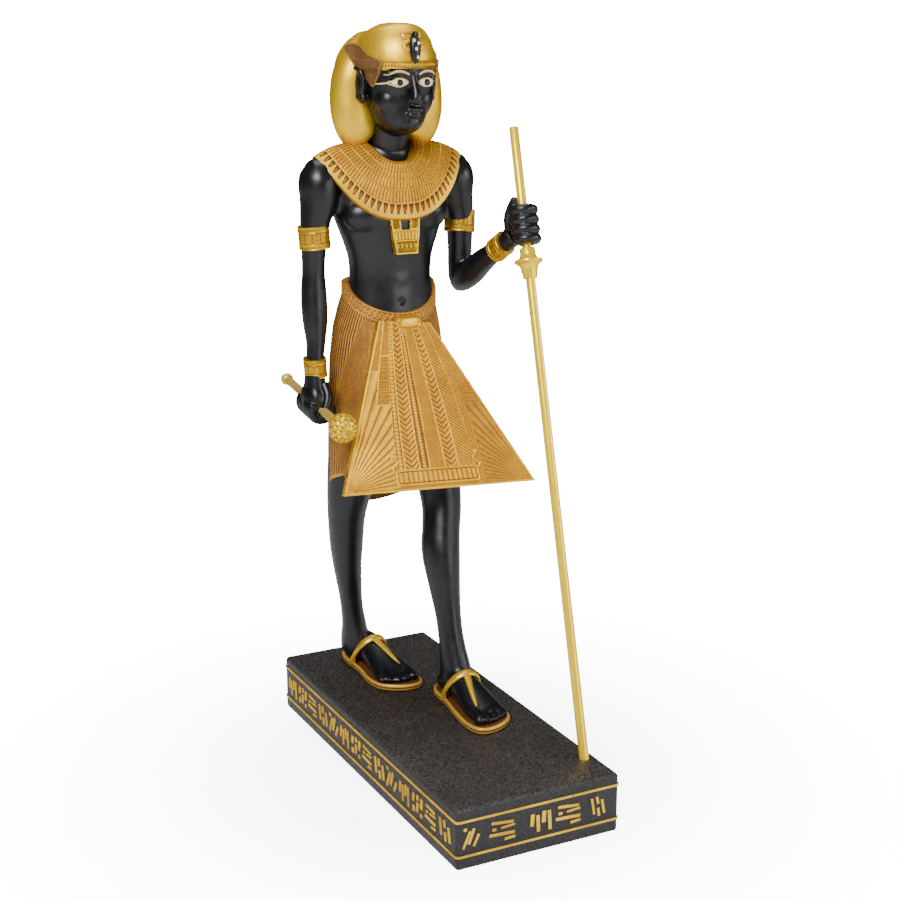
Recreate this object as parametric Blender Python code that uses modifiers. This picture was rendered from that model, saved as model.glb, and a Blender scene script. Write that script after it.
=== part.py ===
"""Striding ceremonial figure of cast resin, with a staff and a mace, on a long low plinth.

Frame: metres, +Z up, the figure faces -Y and its left hand is at +X. The origin is the middle
of the plinth's underside. Lengths are written in millimetres and turned to metres by MM.
"""
import math

import bmesh
import bpy
from mathutils import Matrix, Vector

MM = 0.001

# Plinth
PLINTH_WIDTH = 72.0
PLINTH_LENGTH = 173.8
PLINTH_HEIGHT = 25.0
PLINTH_ROUNDING = 1.6
ROUNDING_STEPS = 2
LINE_HEIGHTS = (5.9, 20.3)
LINE_WIDTH = 0.9
LINE_RELIEF = 0.35
SIGN_BAND_MIDDLE = 13.1
SIGN_HEIGHT = 8.6
SIGN_STROKE = 1.5
SIGN_RELIEF = 0.3
SIGN_PITCH = 9.4
SIGN_END_MARGIN = 5.0

# Figure: its height, and how far its body axis stands behind the plinth's middle
FIGURE_HEIGHT = 284.7
FIGURE_SETBACK = 45.0
DRAWN_HEIGHT = 285.0
TOUCHING_GAP = 0.3

# Staff, measured along its own axis from the middle of the hand that holds it
STAFF_RADIUS = 2.0
STAFF_FOOT_FROM_SIDE = 5.2
STAFF_FOOT_FROM_FRONT = 18.0
STAFF_SOCKET_DEPTH = 4.0
STAFF_ABOVE_HAND = 40.8
SLEEVE_RADIUS = 3.25
SLEEVE_TOP = 9.4
SLEEVE_FLARE = 0.9
FLANGE_RADIUS = 5.9
FLANGE_DROP = 14.2
FLANGE_THICKNESS = 1.3
COLLET_RADIUS = 3.4
COLLET_END = 21.8

# Mace, measured along its own axis from the middle of the fist, head end positive
MACE_SHAFT_RADIUS = 1.9
MACE_HEAD_RADIUS = 6.2
MACE_HEAD_REACH = 28.4
MACE_BUTT_RADIUS = 2.8
MACE_BUTT_REACH = 33.4
MACE_DIP = math.radians(8.0)
BALL_STEPS = 8
KNOB_STEPS = 4

# Clearance round a rod in its bore or socket, and the facets round a rod
ROD_CLEARANCE = 0.35
ROD_STEPS = 14

# Everything below is drawn for a figure DRAWN_HEIGHT tall, from an origin between the feet,
# under the body's axis: across (+ is its left), back (+ is behind), up from the plinth's top.
SHARE = FIGURE_HEIGHT / DRAWN_HEIGHT
FIGURE = (Matrix.Translation(Vector((0.0, FIGURE_SETBACK, PLINTH_HEIGHT + TOUCHING_GAP)) * MM)
          @ Matrix.Scale(SHARE * MM, 4))
STAFF_HAND = Vector((40.0, -44.7, 205.0))
MACE_FIST = Vector((-35.6, -1.5, 128.9))

# Rings of a limb or trunk: across, back, up, half width, half depth
TRUNK = (
    (0.0, 0.0, 118.0, 22.0, 14.0), (0.0, 1.0, 140.0, 23.5, 15.0), (0.0, 1.2, 158.0, 22.6, 14.8),
    (0.0, 0.8, 168.0, 20.8, 14.0), (0.0, 0.2, 176.0, 18.8, 12.9), (0.0, 0.0, 183.0, 18.2, 12.4),
    (0.0, -0.2, 190.0, 18.8, 12.8), (0.0, -0.2, 198.0, 21.4, 13.8), (0.0, 0.2, 206.0, 24.4, 14.6),
    (0.0, 1.0, 213.0, 26.2, 14.4), (0.0, 1.6, 219.0, 26.2, 13.6), (0.0, 2.0, 225.0, 22.6, 12.0),
    (0.0, 2.2, 231.0, 14.0, 9.8), (0.0, 1.4, 236.0, 8.8, 8.4), (0.0, -1.0, 243.0, 7.9, 8.3),
    (0.0, -3.0, 252.0, 7.9, 8.8),
)
YOKE = (
    (-33.5, 1.4, 223.4, 7.6, 7.4), (-27.0, 1.6, 225.0, 7.8, 7.8), (-16.0, 1.8, 226.8, 8.2, 8.2),
    (0.0, 1.8, 227.6, 8.4, 8.8),
)
RIGHT_ARM = (
    (-28.6, 1.5, 227.6, 6.8, 7.0), (-30.4, 1.4, 222.4, 9.0, 9.2), (-31.2, 1.2, 215.0, 8.2, 8.8),
    (-32.9, 1.2, 207.5, 6.5, 7.4), (-33.8, 1.2, 200.0, 5.6, 6.3), (-34.2, 1.4, 191.0, 4.9, 5.6),
    (-34.3, 1.6, 184.0, 4.8, 5.3), (-34.4, 1.4, 177.0, 5.4, 5.5), (-34.5, 0.8, 170.0, 5.6, 5.6),
    (-34.6, 0.0, 163.0, 5.2, 5.2), (-34.9, -0.8, 156.0, 4.2, 4.5), (-35.6, -1.4, 148.5, 3.7, 4.3),
    (-36.0, -1.6, 141.0, 4.2, 5.2), (-36.0, -1.6, 134.0, 5.0, 6.6),
)
LEFT_UPPER_ARM = (
    (28.6, 1.5, 227.6, 6.8, 7.0), (30.4, 1.4, 222.4, 9.0, 9.2), (31.2, 1.2, 215.0, 8.2, 8.8),
    (33.2, 1.4, 207.5, 6.4, 7.2), (34.2, 1.8, 200.0, 5.7, 6.3), (34.6, 2.4, 191.0, 5.2, 5.7),
    (34.8, 3.0, 182.0, 5.0, 5.4), (34.8, 3.0, 176.0, 4.6, 4.9),
)
LEFT_FOREARM = (
    (34.8, 4.0, 175.6, 4.4, 4.6), (34.9, -0.5, 177.2, 5.4, 5.2), (35.3, -7.5, 181.2, 5.8, 5.6),
    (36.2, -15.5, 186.8, 5.2, 5.1), (37.3, -23.5, 191.6, 4.2, 4.4), (38.4, -30.5, 196.0, 3.6, 4.2),
    (40.0, -36.5, 200.5, 4.0, 5.2),
)
RIGHT_LEG = (
    (-12.5, 1.0, 128.0, 11.5, 13.5), (-16.0, 3.0, 108.0, 11.2, 12.6), (-18.0, 5.6, 88.0, 9.6, 10.8),
    (-18.5, 7.8, 76.0, 8.3, 9.2), (-18.0, 9.6, 68.0, 7.7, 8.9), (-17.2, 11.6, 60.0, 7.2, 8.6),
    (-16.4, 13.0, 52.0, 6.4, 7.7), (-15.2, 14.4, 44.0, 5.8, 6.8), (-13.8, 16.0, 36.0, 5.2, 6.0),
    (-12.5, 17.2, 28.0, 5.0, 5.8), (-11.2, 18.2, 20.0, 5.4, 6.6), (-10.4, 19.0, 12.0, 6.2, 8.4),
    (-10.2, 19.6, 6.0, 5.8, 8.6),
)
LEFT_LEG = (
    (13.5, -2.5, 128.0, 11.5, 13.5), (15.5, -9.6, 106.0, 10.4, 12.0), (15.8, -16.6, 84.0, 8.7, 9.6),
    (14.0, -20.2, 73.0, 8.2, 9.0), (12.8, -22.0, 66.0, 8.3, 9.4), (12.3, -23.8, 60.0, 8.0, 9.2),
    (12.1, -26.0, 53.0, 7.2, 8.4), (12.1, -28.2, 45.0, 6.3, 7.3), (12.1, -30.6, 37.0, 5.5, 6.4),
    (12.1, -32.8, 29.0, 5.3, 6.1), (12.3, -34.8, 21.0, 5.7, 6.8), (12.8, -36.2, 13.0, 6.4, 8.6),
    (12.8, -36.6, 6.0, 5.8, 8.6),
)

# Rounded masses: middle across, back, up, then radius across, back, up
CHEST_MASSES = (
    (-11.0, -5.6, 208.0, 12.5, 8.4, 9.0), (11.0, -5.6, 208.0, 12.5, 8.4, 9.0),
    (0.0, -5.0, 181.0, 9.5, 7.8, 14.0),
    (-9.0, 9.0, 214.0, 10.0, 5.4, 12.0), (9.0, 9.0, 214.0, 10.0, 5.4, 12.0),
)
HEAD_RINGS = (
    (0.0, -18.6, 242.8, 4.4, 4.2), (0.0, -17.4, 244.8, 7.2, 7.4), (0.0, -14.6, 248.0, 10.0, 11.0),
    (0.0, -11.6, 251.8, 12.0, 14.2), (0.0, -9.2, 256.4, 13.2, 16.6), (0.0, -7.6, 261.6, 13.9, 18.2),
    (0.0, -6.6, 267.0, 14.3, 18.8), (0.0, -5.4, 273.0, 13.4, 17.4), (0.0, -4.4, 278.0, 10.4, 13.4),
    (0.0, -3.8, 281.0, 5.6, 7.0),
)
FACE_MASSES = (
    (0.0, -21.6, 245.2, 3.6, 2.2, 2.4),
    (-6.2, -14.8, 254.6, 6.2, 6.2, 6.8), (6.2, -14.8, 254.6, 6.2, 6.2, 6.8),
    (0.0, -24.9, 251.1, 4.1, 1.7, 0.95), (0.0, -24.6, 249.2, 3.5, 1.7, 1.1),
    (-6.0, -21.2, 262.2, 3.6, 2.0, 1.9), (6.0, -21.2, 262.2, 3.6, 2.0, 1.9),
    (-5.8, -21.3, 265.9, 5.6, 2.2, 1.5), (5.8, -21.3, 265.9, 5.6, 2.2, 1.5),
    (-2.0, -25.3, 254.9, 1.45, 1.7, 1.2), (2.0, -25.3, 254.9, 1.45, 1.7, 1.2),
)
NOSE = (
    (0.0, -23.8, 265.4, 1.7, 1.8), (0.0, -24.8, 261.4, 1.7, 1.9), (0.0, -26.3, 257.8, 1.9, 2.1),
    (0.0, -27.2, 255.3, 2.2, 1.8), (0.0, -25.6, 254.0, 1.8, 1.3),
)
EAR_MASSES = (
    (-15.9, -5.0, 261.2, 2.2, 4.4, 6.8), (15.9, -5.0, 261.2, 2.2, 4.4, 6.8),
    (-15.0, -7.2, 255.4, 1.6, 2.4, 2.6), (15.0, -7.2, 255.4, 1.6, 2.4, 2.6),
)

# Hands: palms as masses, thumbs as limbs, fingers by their offsets along the rod they hold
FINGER_OFFSETS = (-6.0, -2.0, 2.0, 6.0)
FINGER_STEPS = 8
FINGER_TIP_SHARE = 0.62
LEFT_PALM = ((42.4, -39.4, 202.8, 3.4, 6.0, 7.6), (40.2, -38.0, 206.0, 3.6, 3.6, 4.6))
LEFT_THUMB = (
    (37.2, -37.0, 203.0, 2.2, 2.2), (35.4, -39.6, 208.0, 2.1, 2.1), (35.6, -42.0, 213.0, 1.9, 1.9),
    (36.2, -43.2, 216.4, 1.3, 1.3),
)
LEFT_CURL = (Vector((1.0, 0.35, 0.0)), 4.3, 2.1, 0.3, -4.0)
RIGHT_PALM = ((-37.0, -1.5, 131.6, 4.8, 7.8, 8.2),)
RIGHT_THUMB = (
    (-33.6, -5.6, 138.6, 2.3, 2.3), (-33.0, -8.6, 133.6, 2.2, 2.2), (-35.0, -9.8, 128.4, 1.9, 1.9),
    (-37.0, -9.4, 125.4, 1.3, 1.3),
)
RIGHT_CURL = (Vector((-1.0, 0.0, 0.2)), 4.5, 2.2, -0.4, 3.7)

# Head cloth: a dome over the skull and a bag behind the ears that ends on the shoulders
CLOTH_BAG = (
    (0.0, 6.4, 237.0, 12.0, 6.0), (0.0, 6.6, 243.0, 16.0, 7.4), (0.0, 6.4, 250.0, 18.0, 8.2),
    (0.0, 6.0, 258.0, 19.6, 9.0), (0.0, 4.0, 265.0, 22.0, 11.4), (0.0, 2.6, 271.0, 21.2, 13.0),
    (0.0, 1.6, 276.4, 17.4, 13.4), (0.0, 1.0, 280.6, 12.0, 11.2),
)
CLOTH_LOBE = (
    (13.2, 1.4, 236.2, 3.8, 3.4), (13.8, 1.4, 238.8, 6.8, 6.0), (14.4, 1.4, 243.6, 8.8, 7.6),
    (15.0, 1.5, 250.0, 9.8, 8.2), (15.1, 1.8, 257.0, 9.8, 8.4), (14.4, 1.8, 264.0, 9.2, 8.8),
    (12.6, 2.0, 270.0, 7.7, 8.6), (10.6, 2.2, 274.0, 5.4, 7.0),
)
CLOTH_DOME = (
    (0.0, -4.8, 265.8, 16.0, 20.2), (0.0, -4.5, 270.0, 16.6, 20.6), (0.0, -3.0, 275.0, 15.8, 19.0),
    (0.0, -1.2, 279.4, 12.9, 15.4), (0.0, -0.2, 282.4, 8.8, 10.6), (0.0, 0.2, 284.6, 3.8, 4.8),
)
CLOTH_TAIL = (
    (0.0, 8.0, 244.0, 7.0, 6.0), (0.0, 12.6, 235.0, 4.4, 3.8), (0.0, 15.2, 226.0, 3.4, 2.8),
    (0.0, 16.6, 216.0, 2.8, 2.2),
)
BROW_BAND = ((266.4, 15.0, 17.6), (266.4, 16.4, 19.1), (270.6, 17.1, 19.6), (270.9, 15.6, 18.2))
BROW_BAND_BACK = -6.4
BROW_BAND_SIDES = 20

# Serpent at the brow: upright hood, head, spine behind it, coil on each side and tail on the dome
SERPENT_HOOD = (0.0, -25.8, 276.4, 2.4, 1.9, 6.9)
SERPENT_LEAN = math.radians(-6.0)
SERPENT_HEAD = (0.0, -25.9, 281.8, 1.3, 2.0, 1.6)
SERPENT_SPINE = ((0.0, -24.0, 269.0, 1.3, 1.2), (0.0, -23.0, 275.0, 1.4, 2.4), (0.0, -21.6, 279.0, 1.0, 2.0))
SERPENT_COIL = (
    (1.2, -25.2, 272.8, 0.9, 0.9), (4.0, -24.6, 273.4, 0.9, 0.9), (6.0, -23.0, 275.4, 0.9, 0.9),
    (5.0, -21.8, 277.8, 0.9, 0.9), (1.0, -21.6, 278.8, 0.9, 0.9),
)
SERPENT_TAIL = (
    (0.0, -22.0, 277.4, 1.0, 1.0), (0.0, -17.0, 280.4, 1.0, 1.0), (0.0, -9.6, 283.6, 0.9, 0.9),
    (0.0, -3.0, 284.5, 0.7, 0.7),
)

# Broad collar: each row is up at the front, side and back, then half width and reach to the
# front and to the back
COLLAR_BACK = 1.5
COLLAR_ROWS = (
    (228.0, 235.0, 234.0, 8.0, 9.4, 6.6), (229.8, 237.4, 238.0, 10.0, 11.8, 8.6),
    (229.4, 237.6, 237.4, 11.6, 13.0, 10.4), (222.6, 236.8, 231.6, 19.4, 15.4, 14.2),
    (214.8, 234.8, 224.4, 26.8, 16.8, 16.2), (207.0, 231.6, 216.6, 32.8, 17.6, 17.2),
    (205.8, 230.0, 215.4, 32.0, 16.4, 16.0), (212.0, 226.0, 218.0, 24.0, 9.0, 9.0),
)
COLLAR_DRAPE = 1.3
COLLAR_RIDGES = 4
COLLAR_RIDGE_RELIEF = 0.45
COLLAR_SIDES = 26

# Kilt: share of its drop, half width, half depth, middle back
KILT_GIRTHS = (
    (0.0, 19.8, 15.4, 1.2), (0.1, 21.8, 18.0, 2.8), (0.2, 23.6, 19.8, 3.9), (0.35, 25.2, 21.2, 4.1),
    (0.55, 26.2, 22.0, 3.6), (0.8, 27.2, 22.8, 2.6), (1.0, 27.6, 23.2, 2.2),
)
KILT_RINGS = 5
KILT_TOP_FRONT = 165.8
KILT_TOP_SIDE = 177.0
KILT_TOP_BACK = 178.5
KILT_HEM_FRONT = 104.0
KILT_HEM_SIDE = 94.5
KILT_HEM_BACK = 75.5
KILT_PLEATS = 20
KILT_PLEAT_RELIEF = 0.4
KILT_WALL = 3.0
KILT_RECESS = 0.92
RECESS_END = 1.12
SKIRT_RINGS = 3
SKIRT_DROP = 1.0
SKIRT_INSET = 1.2
SKIRT_HEM = 102.0
SKIRT_REACH = 0.985
SKIRT_DEPTH = 0.12

# Apron plate, corners on its front face: top left and right, bottom left and right as drawn
APRON_TOP = (Vector((-13.2, -17.0, 165.4)), Vector((10.6, -17.0, 162.8)))
APRON_FOOT = (Vector((-36.5, -31.9, 96.5)), Vector((45.7, -47.0, 96.5)))
APRON_THICKNESS = 2.6
APRON_RIBBON = ((0.18, 0.29), (0.86, 0.70))
APRON_BORDER = 0.93
APRON_PLEATS = 6
APRON_FAN_FOOT = 0.90
APRON_FAN_RISE = 0.56
APRON_FAN_START = 9.0
APRON_CORNER = (0.02, 0.975)
APRON_EDGE_GAP = 0.03
APRON_LINE = (0.4, 0.7)
APRON_RIB = (0.3, 1.3)
APRON_RELIEF = 0.6

# Belt and buckle
BELT_HEIGHT = 5.2
BELT_THICKNESS = 1.2
BELT_RISE = 1.6
BELT_INSIDE = -2.0
BELT_SIDES = 24
BUCKLE = (0.4, -15.6, 164.4, 6.2, 2.2, 2.9)

# Bands round the limbs: middle, direction, half length, half width, half depth
LIMB_BANDS = (
    (Vector((-33.8, 1.2, 199.4)), Vector((-0.08, 0.0, 1.0)), 4.8, 6.6, 7.2),
    (Vector((34.2, 1.8, 202.4)), Vector((0.1, 0.12, 1.0)), 4.8, 6.7, 7.2),
    (Vector((-35.6, -1.4, 145.2)), Vector((-0.1, -0.08, 1.0)), 4.0, 4.9, 5.6),
    (Vector((38.0, -28.0, 194.4)), Vector((0.15, -0.83, 0.53)), 3.9, 4.9, 5.4),
)

# Pectoral: plate under the collar
PECTORAL = (Vector((0.3, -14.6, 199.6)), 13.6, 9.8, 14.6, 3.0)
PECTORAL_LEAN = 0.14

# Foot, drawn for the left one: forward from the heel, then outward from the foot's middle line
SOLE_OUTLINE = (
    (0.0, 0.0), (3.0, 5.8), (12.0, 8.0), (24.0, 8.6), (37.0, 10.8), (46.0, 9.4), (51.4, 3.8),
    (53.8, -3.0), (52.0, -8.4), (44.0, -10.6), (32.0, -9.8), (20.0, -8.2), (9.0, -7.8), (2.6, -5.4),
)
SOLE_SIDES = 28
SOLE_LAYERS = ((0.0, 0.4), (2.4, 0.0), (2.9, 0.8), (2.2, 1.9))
FEET = ((12.9, -24.0, math.radians(-1.5), 1.0), (-7.4, 31.6, math.radians(4.2), -1.0))
INSTEP = (
    (7.0, -0.4, 6.4, 6.2, 4.6), (14.0, -0.4, 8.6, 6.4, 6.8), (22.0, -0.2, 8.2, 6.6, 6.4),
    (30.0, 0.0, 6.8, 7.6, 4.8), (38.0, 0.0, 5.4, 8.4, 3.4), (43.0, 0.0, 4.6, 8.4, 2.4),
)
TOES = ((-6.0, 50.6, 2.3), (-1.9, 50.4, 1.75), (1.6, 49.4, 1.65), (4.8, 47.8, 1.6), (7.8, 45.6, 1.5))
TOE_ROOT = 38.0
HEEL = (6.6, 0.0, 6.4, 5.8, 5.6, 4.8)
STRAP_FORWARD = 23.5
STRAP_SWEEP = 6.5
STRAP_TOP = 15.4
STRAP_FOOT = 2.2
STRAP_REACH = 8.0
STRAP_WIDTH = 1.9
STRAP_THICKNESS = 1.2
STRAP_STEPS = 8
THONG_MIDDLE = (33.0, -2.2, 10.8)
THONG_FOOT = (42.0, -3.9, 6.2)
THONG_WIDTHS = (1.4, 1.1, 0.9)
THONG_THICKNESS = 0.9

# How finely the soft parts are fused, and how many triangles each keeps
BODY_VOXEL = 1.0
FINE_VOXEL = 0.55
BODY_PASSES = 4
FACE_PASSES = 6
CLOTH_PASSES = 8
SHARP_ANGLE = math.radians(35.0)
SKIN_TRIANGLES = 1200
HAND_TRIANGLES = 420
HEAD_TRIANGLES = 560
CLOTH_TRIANGLES = 340
BORE_LENGTH = 30.0
BORE_SIDES = 16


def clear_scene():
    """Remove whatever the file opened with."""
    for thing in list(bpy.data.objects):
        bpy.data.objects.remove(thing, do_unlink=True)


def make_material(name, colour, roughness, metallic):
    """A Principled material of one colour."""
    material = bpy.data.materials.new(name)
    material.use_nodes = True
    shader = material.node_tree.nodes["Principled BSDF"]
    shader.inputs["Base Color"].default_value = (*colour, 1.0)
    shader.inputs["Roughness"].default_value = roughness
    shader.inputs["Metallic"].default_value = metallic
    return material


def make_collection(name):
    """A collection under the scene's own."""
    made = bpy.data.collections.new(name)
    bpy.context.scene.collection.children.link(made)
    return made


def make_object(bm, name, home):
    """Turn a bmesh into an object in a collection."""
    mesh = bpy.data.meshes.new(name)
    bm.to_mesh(mesh)
    bm.free()
    made = bpy.data.objects.new(name, mesh)
    home.objects.link(made)
    return made


def apply_modifiers(thing):
    """Replace an object's mesh by the one its modifiers give."""
    depsgraph = bpy.context.evaluated_depsgraph_get()
    depsgraph.update()
    mesh = bpy.data.meshes.new_from_object(thing.evaluated_get(depsgraph))
    thing.modifiers.clear()
    thing.data = mesh


def unite(base, others):
    """Join closed objects to a base, all in one step, and remove them."""
    joined = make_collection("joined")
    for other in others:
        joined.objects.link(other)
    step = base.modifiers.new("join", "BOOLEAN")
    step.operation = "UNION"
    step.operand_type = "COLLECTION"
    step.collection = joined
    step.use_self = True
    apply_modifiers(base)
    for other in others:
        bpy.data.objects.remove(other, do_unlink=True)
    bpy.data.collections.remove(joined)


def cut(base, cutter):
    """Take a cutter's shape out of a base; the cutter stays, hidden."""
    cutter.hide_render = True
    cutter.display_type = "WIRE"
    step = base.modifiers.new("cut", "BOOLEAN")
    step.operation = "DIFFERENCE"
    step.object = cutter
    apply_modifiers(base)


def blend_stations(stations, steps):
    """Read a smooth curve through rows of numbers, at even steps between each two rows."""
    rows = [Vector(row) for row in stations]
    smooth = []
    for index in range(len(rows) - 1):
        before = rows[max(index - 1, 0)]
        start = rows[index]
        end = rows[index + 1]
        after = rows[min(index + 2, len(rows) - 1)]
        for step in range(steps):
            t = step / steps
            smooth.append(0.5 * (2.0 * start + (end - before) * t
                                 + (2.0 * before - 5.0 * start + 4.0 * end - after) * t * t
                                 + (3.0 * start - before - 3.0 * end + after) * t * t * t))
    smooth.append(rows[-1])
    return smooth


def loft(rings, place=FIGURE):
    """Skin closed rings of points, all of one count, and close both ends."""
    bm = bmesh.new()
    number = bm.verts.layers.int.new("number")
    first = bmesh.ops.create_circle(bm, cap_ends=False, segments=len(rings[0]), radius=1.0)["verts"]
    for index, vert in enumerate(first):
        vert[number] = index
        vert.co = rings[0][index]
    start = bm.edges[:]
    edges = start
    for ring in rings[1:]:
        grown = bmesh.ops.extrude_edge_only(bm, edges=edges)["geom"]
        fresh = {part for part in grown if isinstance(part, bmesh.types.BMVert)}
        edges = [part for part in grown
                 if isinstance(part, bmesh.types.BMEdge) and fresh.issuperset(part.verts)]
        for vert in fresh:
            vert.co = ring[vert[number]]
    for rim in (start, edges):
        cap = bmesh.ops.contextual_create(bm, geom=rim)["faces"]
        bmesh.ops.poke(bm, faces=cap)
    bmesh.ops.recalc_face_normals(bm, faces=bm.faces)
    bmesh.ops.transform(bm, matrix=place, verts=bm.verts)
    return bm


def ellipse(middle, across, along, half_width, half_depth, sides):
    """An ellipse of points in the plane of two directions."""
    turns = (2.0 * math.pi * side / sides for side in range(sides))
    return [middle + across * (half_width * math.cos(turn)) + along * (half_depth * math.sin(turn))
            for turn in turns]


def limb(stations, sides=16, steps=3, hint=Vector((1.0, 0.0, 0.0))):
    """A rounded limb through stations: its rings lie square to its middle line."""
    rows = blend_stations(stations, steps)
    middles = [Vector(row[:3]) for row in rows]
    rings = []
    for index, row in enumerate(rows):
        way = middles[min(index + 1, len(rows) - 1)] - middles[max(index - 1, 0)]
        way.normalize()
        across = (hint - way * hint.dot(way)).normalized()
        along = way.cross(across)
        rings.append(ellipse(middles[index], across, along, row[3], row[4], sides))
    return loft(rings)


def mass(row, tilt=0.0, sides=16):
    """An egg-shaped mass: middle, then its three radii."""
    bm = bmesh.new()
    matrix = (FIGURE @ Matrix.Translation(Vector(row[:3])) @ Matrix.Rotation(tilt, 4, "X")
              @ Matrix.Diagonal((*row[3:6], 1.0)))
    bmesh.ops.create_uvsphere(bm, u_segments=sides, v_segments=sides // 2 + 1, radius=1.0, matrix=matrix)
    return bm


def gather(shapes, name, home):
    """Put several bmeshes into one object, as they are."""
    whole = bmesh.new()
    for shape in shapes:
        mesh = bpy.data.meshes.new("shape")
        shape.to_mesh(mesh)
        shape.free()
        whole.from_mesh(mesh)
        bpy.data.meshes.remove(mesh)
    return make_object(whole, name, home)


def model_soft(shapes, name, home, voxel, passes, triangles):
    """Fuse overlapping shapes into one smooth skin of about so many triangles."""
    made = gather(shapes, name, home)
    fuse = made.modifiers.new("fuse", "REMESH")
    fuse.mode = "VOXEL"
    fuse.voxel_size = voxel * SHARE * MM
    relax = made.modifiers.new("relax", "SMOOTH")
    relax.factor = 0.5
    relax.iterations = passes
    apply_modifiers(made)
    thin = made.modifiers.new("thin", "DECIMATE")
    thin.ratio = triangles / (2.0 * len(made.data.polygons))
    apply_modifiers(made)
    return made


def finger(middle, axis, start, offset, reach, radius, first, last):
    """A finger curled round a rod: it follows an arc from one turn to another."""
    side = axis.cross(start).normalized()
    stations = []
    for step in range(FINGER_STEPS + 1):
        turn = first + (last - first) * step / FINGER_STEPS
        point = middle + axis * offset + (start * math.cos(turn) + side * math.sin(turn)) * reach
        slim = radius * (FINGER_TIP_SHARE if step == FINGER_STEPS else 1.0)
        stations.append((*point, slim, slim))
    return limb(stations, sides=10, steps=1, hint=axis)


def staff_direction():
    """The staff's direction as the figure's own frame has it, foot to top."""
    foot = Vector((PLINTH_WIDTH / 2 - STAFF_FOOT_FROM_SIDE, STAFF_FOOT_FROM_FRONT - PLINTH_LENGTH / 2,
                   PLINTH_HEIGHT)) * MM
    return foot, (FIGURE @ STAFF_HAND - foot).normalized()


def mace_direction():
    """The mace's direction, butt to head, which dips to the front."""
    return Vector((0.0, -math.cos(MACE_DIP), -math.sin(MACE_DIP)))


def hand_shapes():
    """Both hands: the left one round the staff, the right one round the mace."""
    shapes = [mass(row) for row in LEFT_PALM + RIGHT_PALM]
    shapes.extend(limb(rows, sides=10) for rows in (LEFT_THUMB, RIGHT_THUMB))
    for middle, rod, curl in ((STAFF_HAND, staff_direction()[1], LEFT_CURL),
                              (MACE_FIST, mace_direction(), RIGHT_CURL)):
        outward, reach, radius, first, last = curl
        outward = (outward - rod * outward.dot(rod)).normalized()
        shapes.extend(finger(middle, rod, outward, offset, reach, radius, first, last)
                      for offset in FINGER_OFFSETS)
    return shapes


def foot_matrix(foot):
    """Place of a foot: forward, outward and up, as the figure's frame has them."""
    across, back, turn, side = foot
    forward = Matrix(((0, side, 0, 0), (-1, 0, 0, 0), (0, 0, 1, 0), (0, 0, 0, 1)))
    return Matrix.Translation((across, back, 0.0)) @ Matrix.Rotation(turn, 4, "Z") @ forward


def foot_shapes(foot):
    """Heel, instep and toes of one foot."""
    matrix = foot_matrix(foot)
    stations = [(*(matrix @ Vector((row[0], row[1], row[2]))), row[3], row[4]) for row in INSTEP]
    shapes = [limb(stations, sides=14)]
    shapes.append(mass((*(matrix @ Vector(HEEL[:3])), *HEEL[3:])))
    for outward, tip, radius in TOES:
        toe = []
        for forward, up, slim in ((TOE_ROOT, radius + 3.0, 1.0), (tip - 5.0, radius + 2.6, 0.95),
                                  (tip - 2.0, radius + 2.2, 1.05), (tip, radius + 2.0, 0.55)):
            spot = matrix @ Vector((forward, outward, up))
            toe.append((*spot, radius * slim, radius * slim))
        shapes.append(limb(toe, sides=10))
    return shapes


def sole(foot, name, home):
    """Sandal sole with a raised rim, following its outline."""
    matrix = foot_matrix(foot)
    closed = SOLE_OUTLINE[-2:] + SOLE_OUTLINE + SOLE_OUTLINE[:3]
    smooth = blend_stations([(*point, 0.0) for point in closed], 2)[4:4 + SOLE_SIDES]
    rings = []
    for up, inset in SOLE_LAYERS:
        ring = []
        for index, point in enumerate(smooth):
            way = (smooth[(index + 1) % SOLE_SIDES] - smooth[index - 1]).normalized()
            inward = Vector((way.y, -way.x, 0.0))
            ring.append(matrix @ (point + inward * inset + Vector((0.0, 0.0, up))))
        rings.append(ring)
    return make_object(loft(rings), name, home)


def straps(foot, name, home):
    """Instep strap and the thong that runs to the toes, as one piece."""
    matrix = foot_matrix(foot)
    hoop = []
    for step in range(STRAP_STEPS + 1):
        turn = math.pi * step / STRAP_STEPS
        rise = math.sin(turn)
        point = Vector((STRAP_FORWARD - STRAP_SWEEP * (1.0 - rise), -STRAP_REACH * math.cos(turn),
                        STRAP_FOOT + (STRAP_TOP - STRAP_FOOT) * rise ** 0.8))
        hoop.append((*(matrix @ point), STRAP_THICKNESS, STRAP_WIDTH))
    way = matrix.to_3x3() @ Vector((0.4, 0.0, 1.0))
    band = make_object(limb(hoop, sides=6, steps=1, hint=way), name, home)
    spots = ((STRAP_FORWARD, 0.0, STRAP_TOP - 0.2), THONG_MIDDLE, THONG_FOOT)
    rows = [(*(matrix @ Vector(spot)), width, THONG_THICKNESS) for spot, width in zip(spots, THONG_WIDTHS)]
    thong = make_object(limb(rows, sides=6, steps=2), name + ".thong", home)
    unite(band, [thong])
    return band


def oval_ring(up, back, half_width, half_depth, sides):
    """A level oval of points."""
    return ellipse(Vector((0.0, back, up)), Vector((1.0, 0.0, 0.0)), Vector((0.0, 1.0, 0.0)), half_width,
                   half_depth, sides)


def collar_ring(row):
    """One ring of the collar: it drapes lower at the front and back than over the shoulders."""
    front, side, rear, half_width, to_front, to_back = row
    ring = []
    for step in range(COLLAR_SIDES):
        turn = 2.0 * math.pi * step / COLLAR_SIDES
        depth = math.sin(turn)
        reach = to_back if depth > 0.0 else to_front
        end = rear if depth > 0.0 else front
        up = end + (side - end) * (1.0 - depth * depth) ** COLLAR_DRAPE
        ring.append(Vector((half_width * math.cos(turn), COLLAR_BACK + reach * depth, up)))
    return ring


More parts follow.
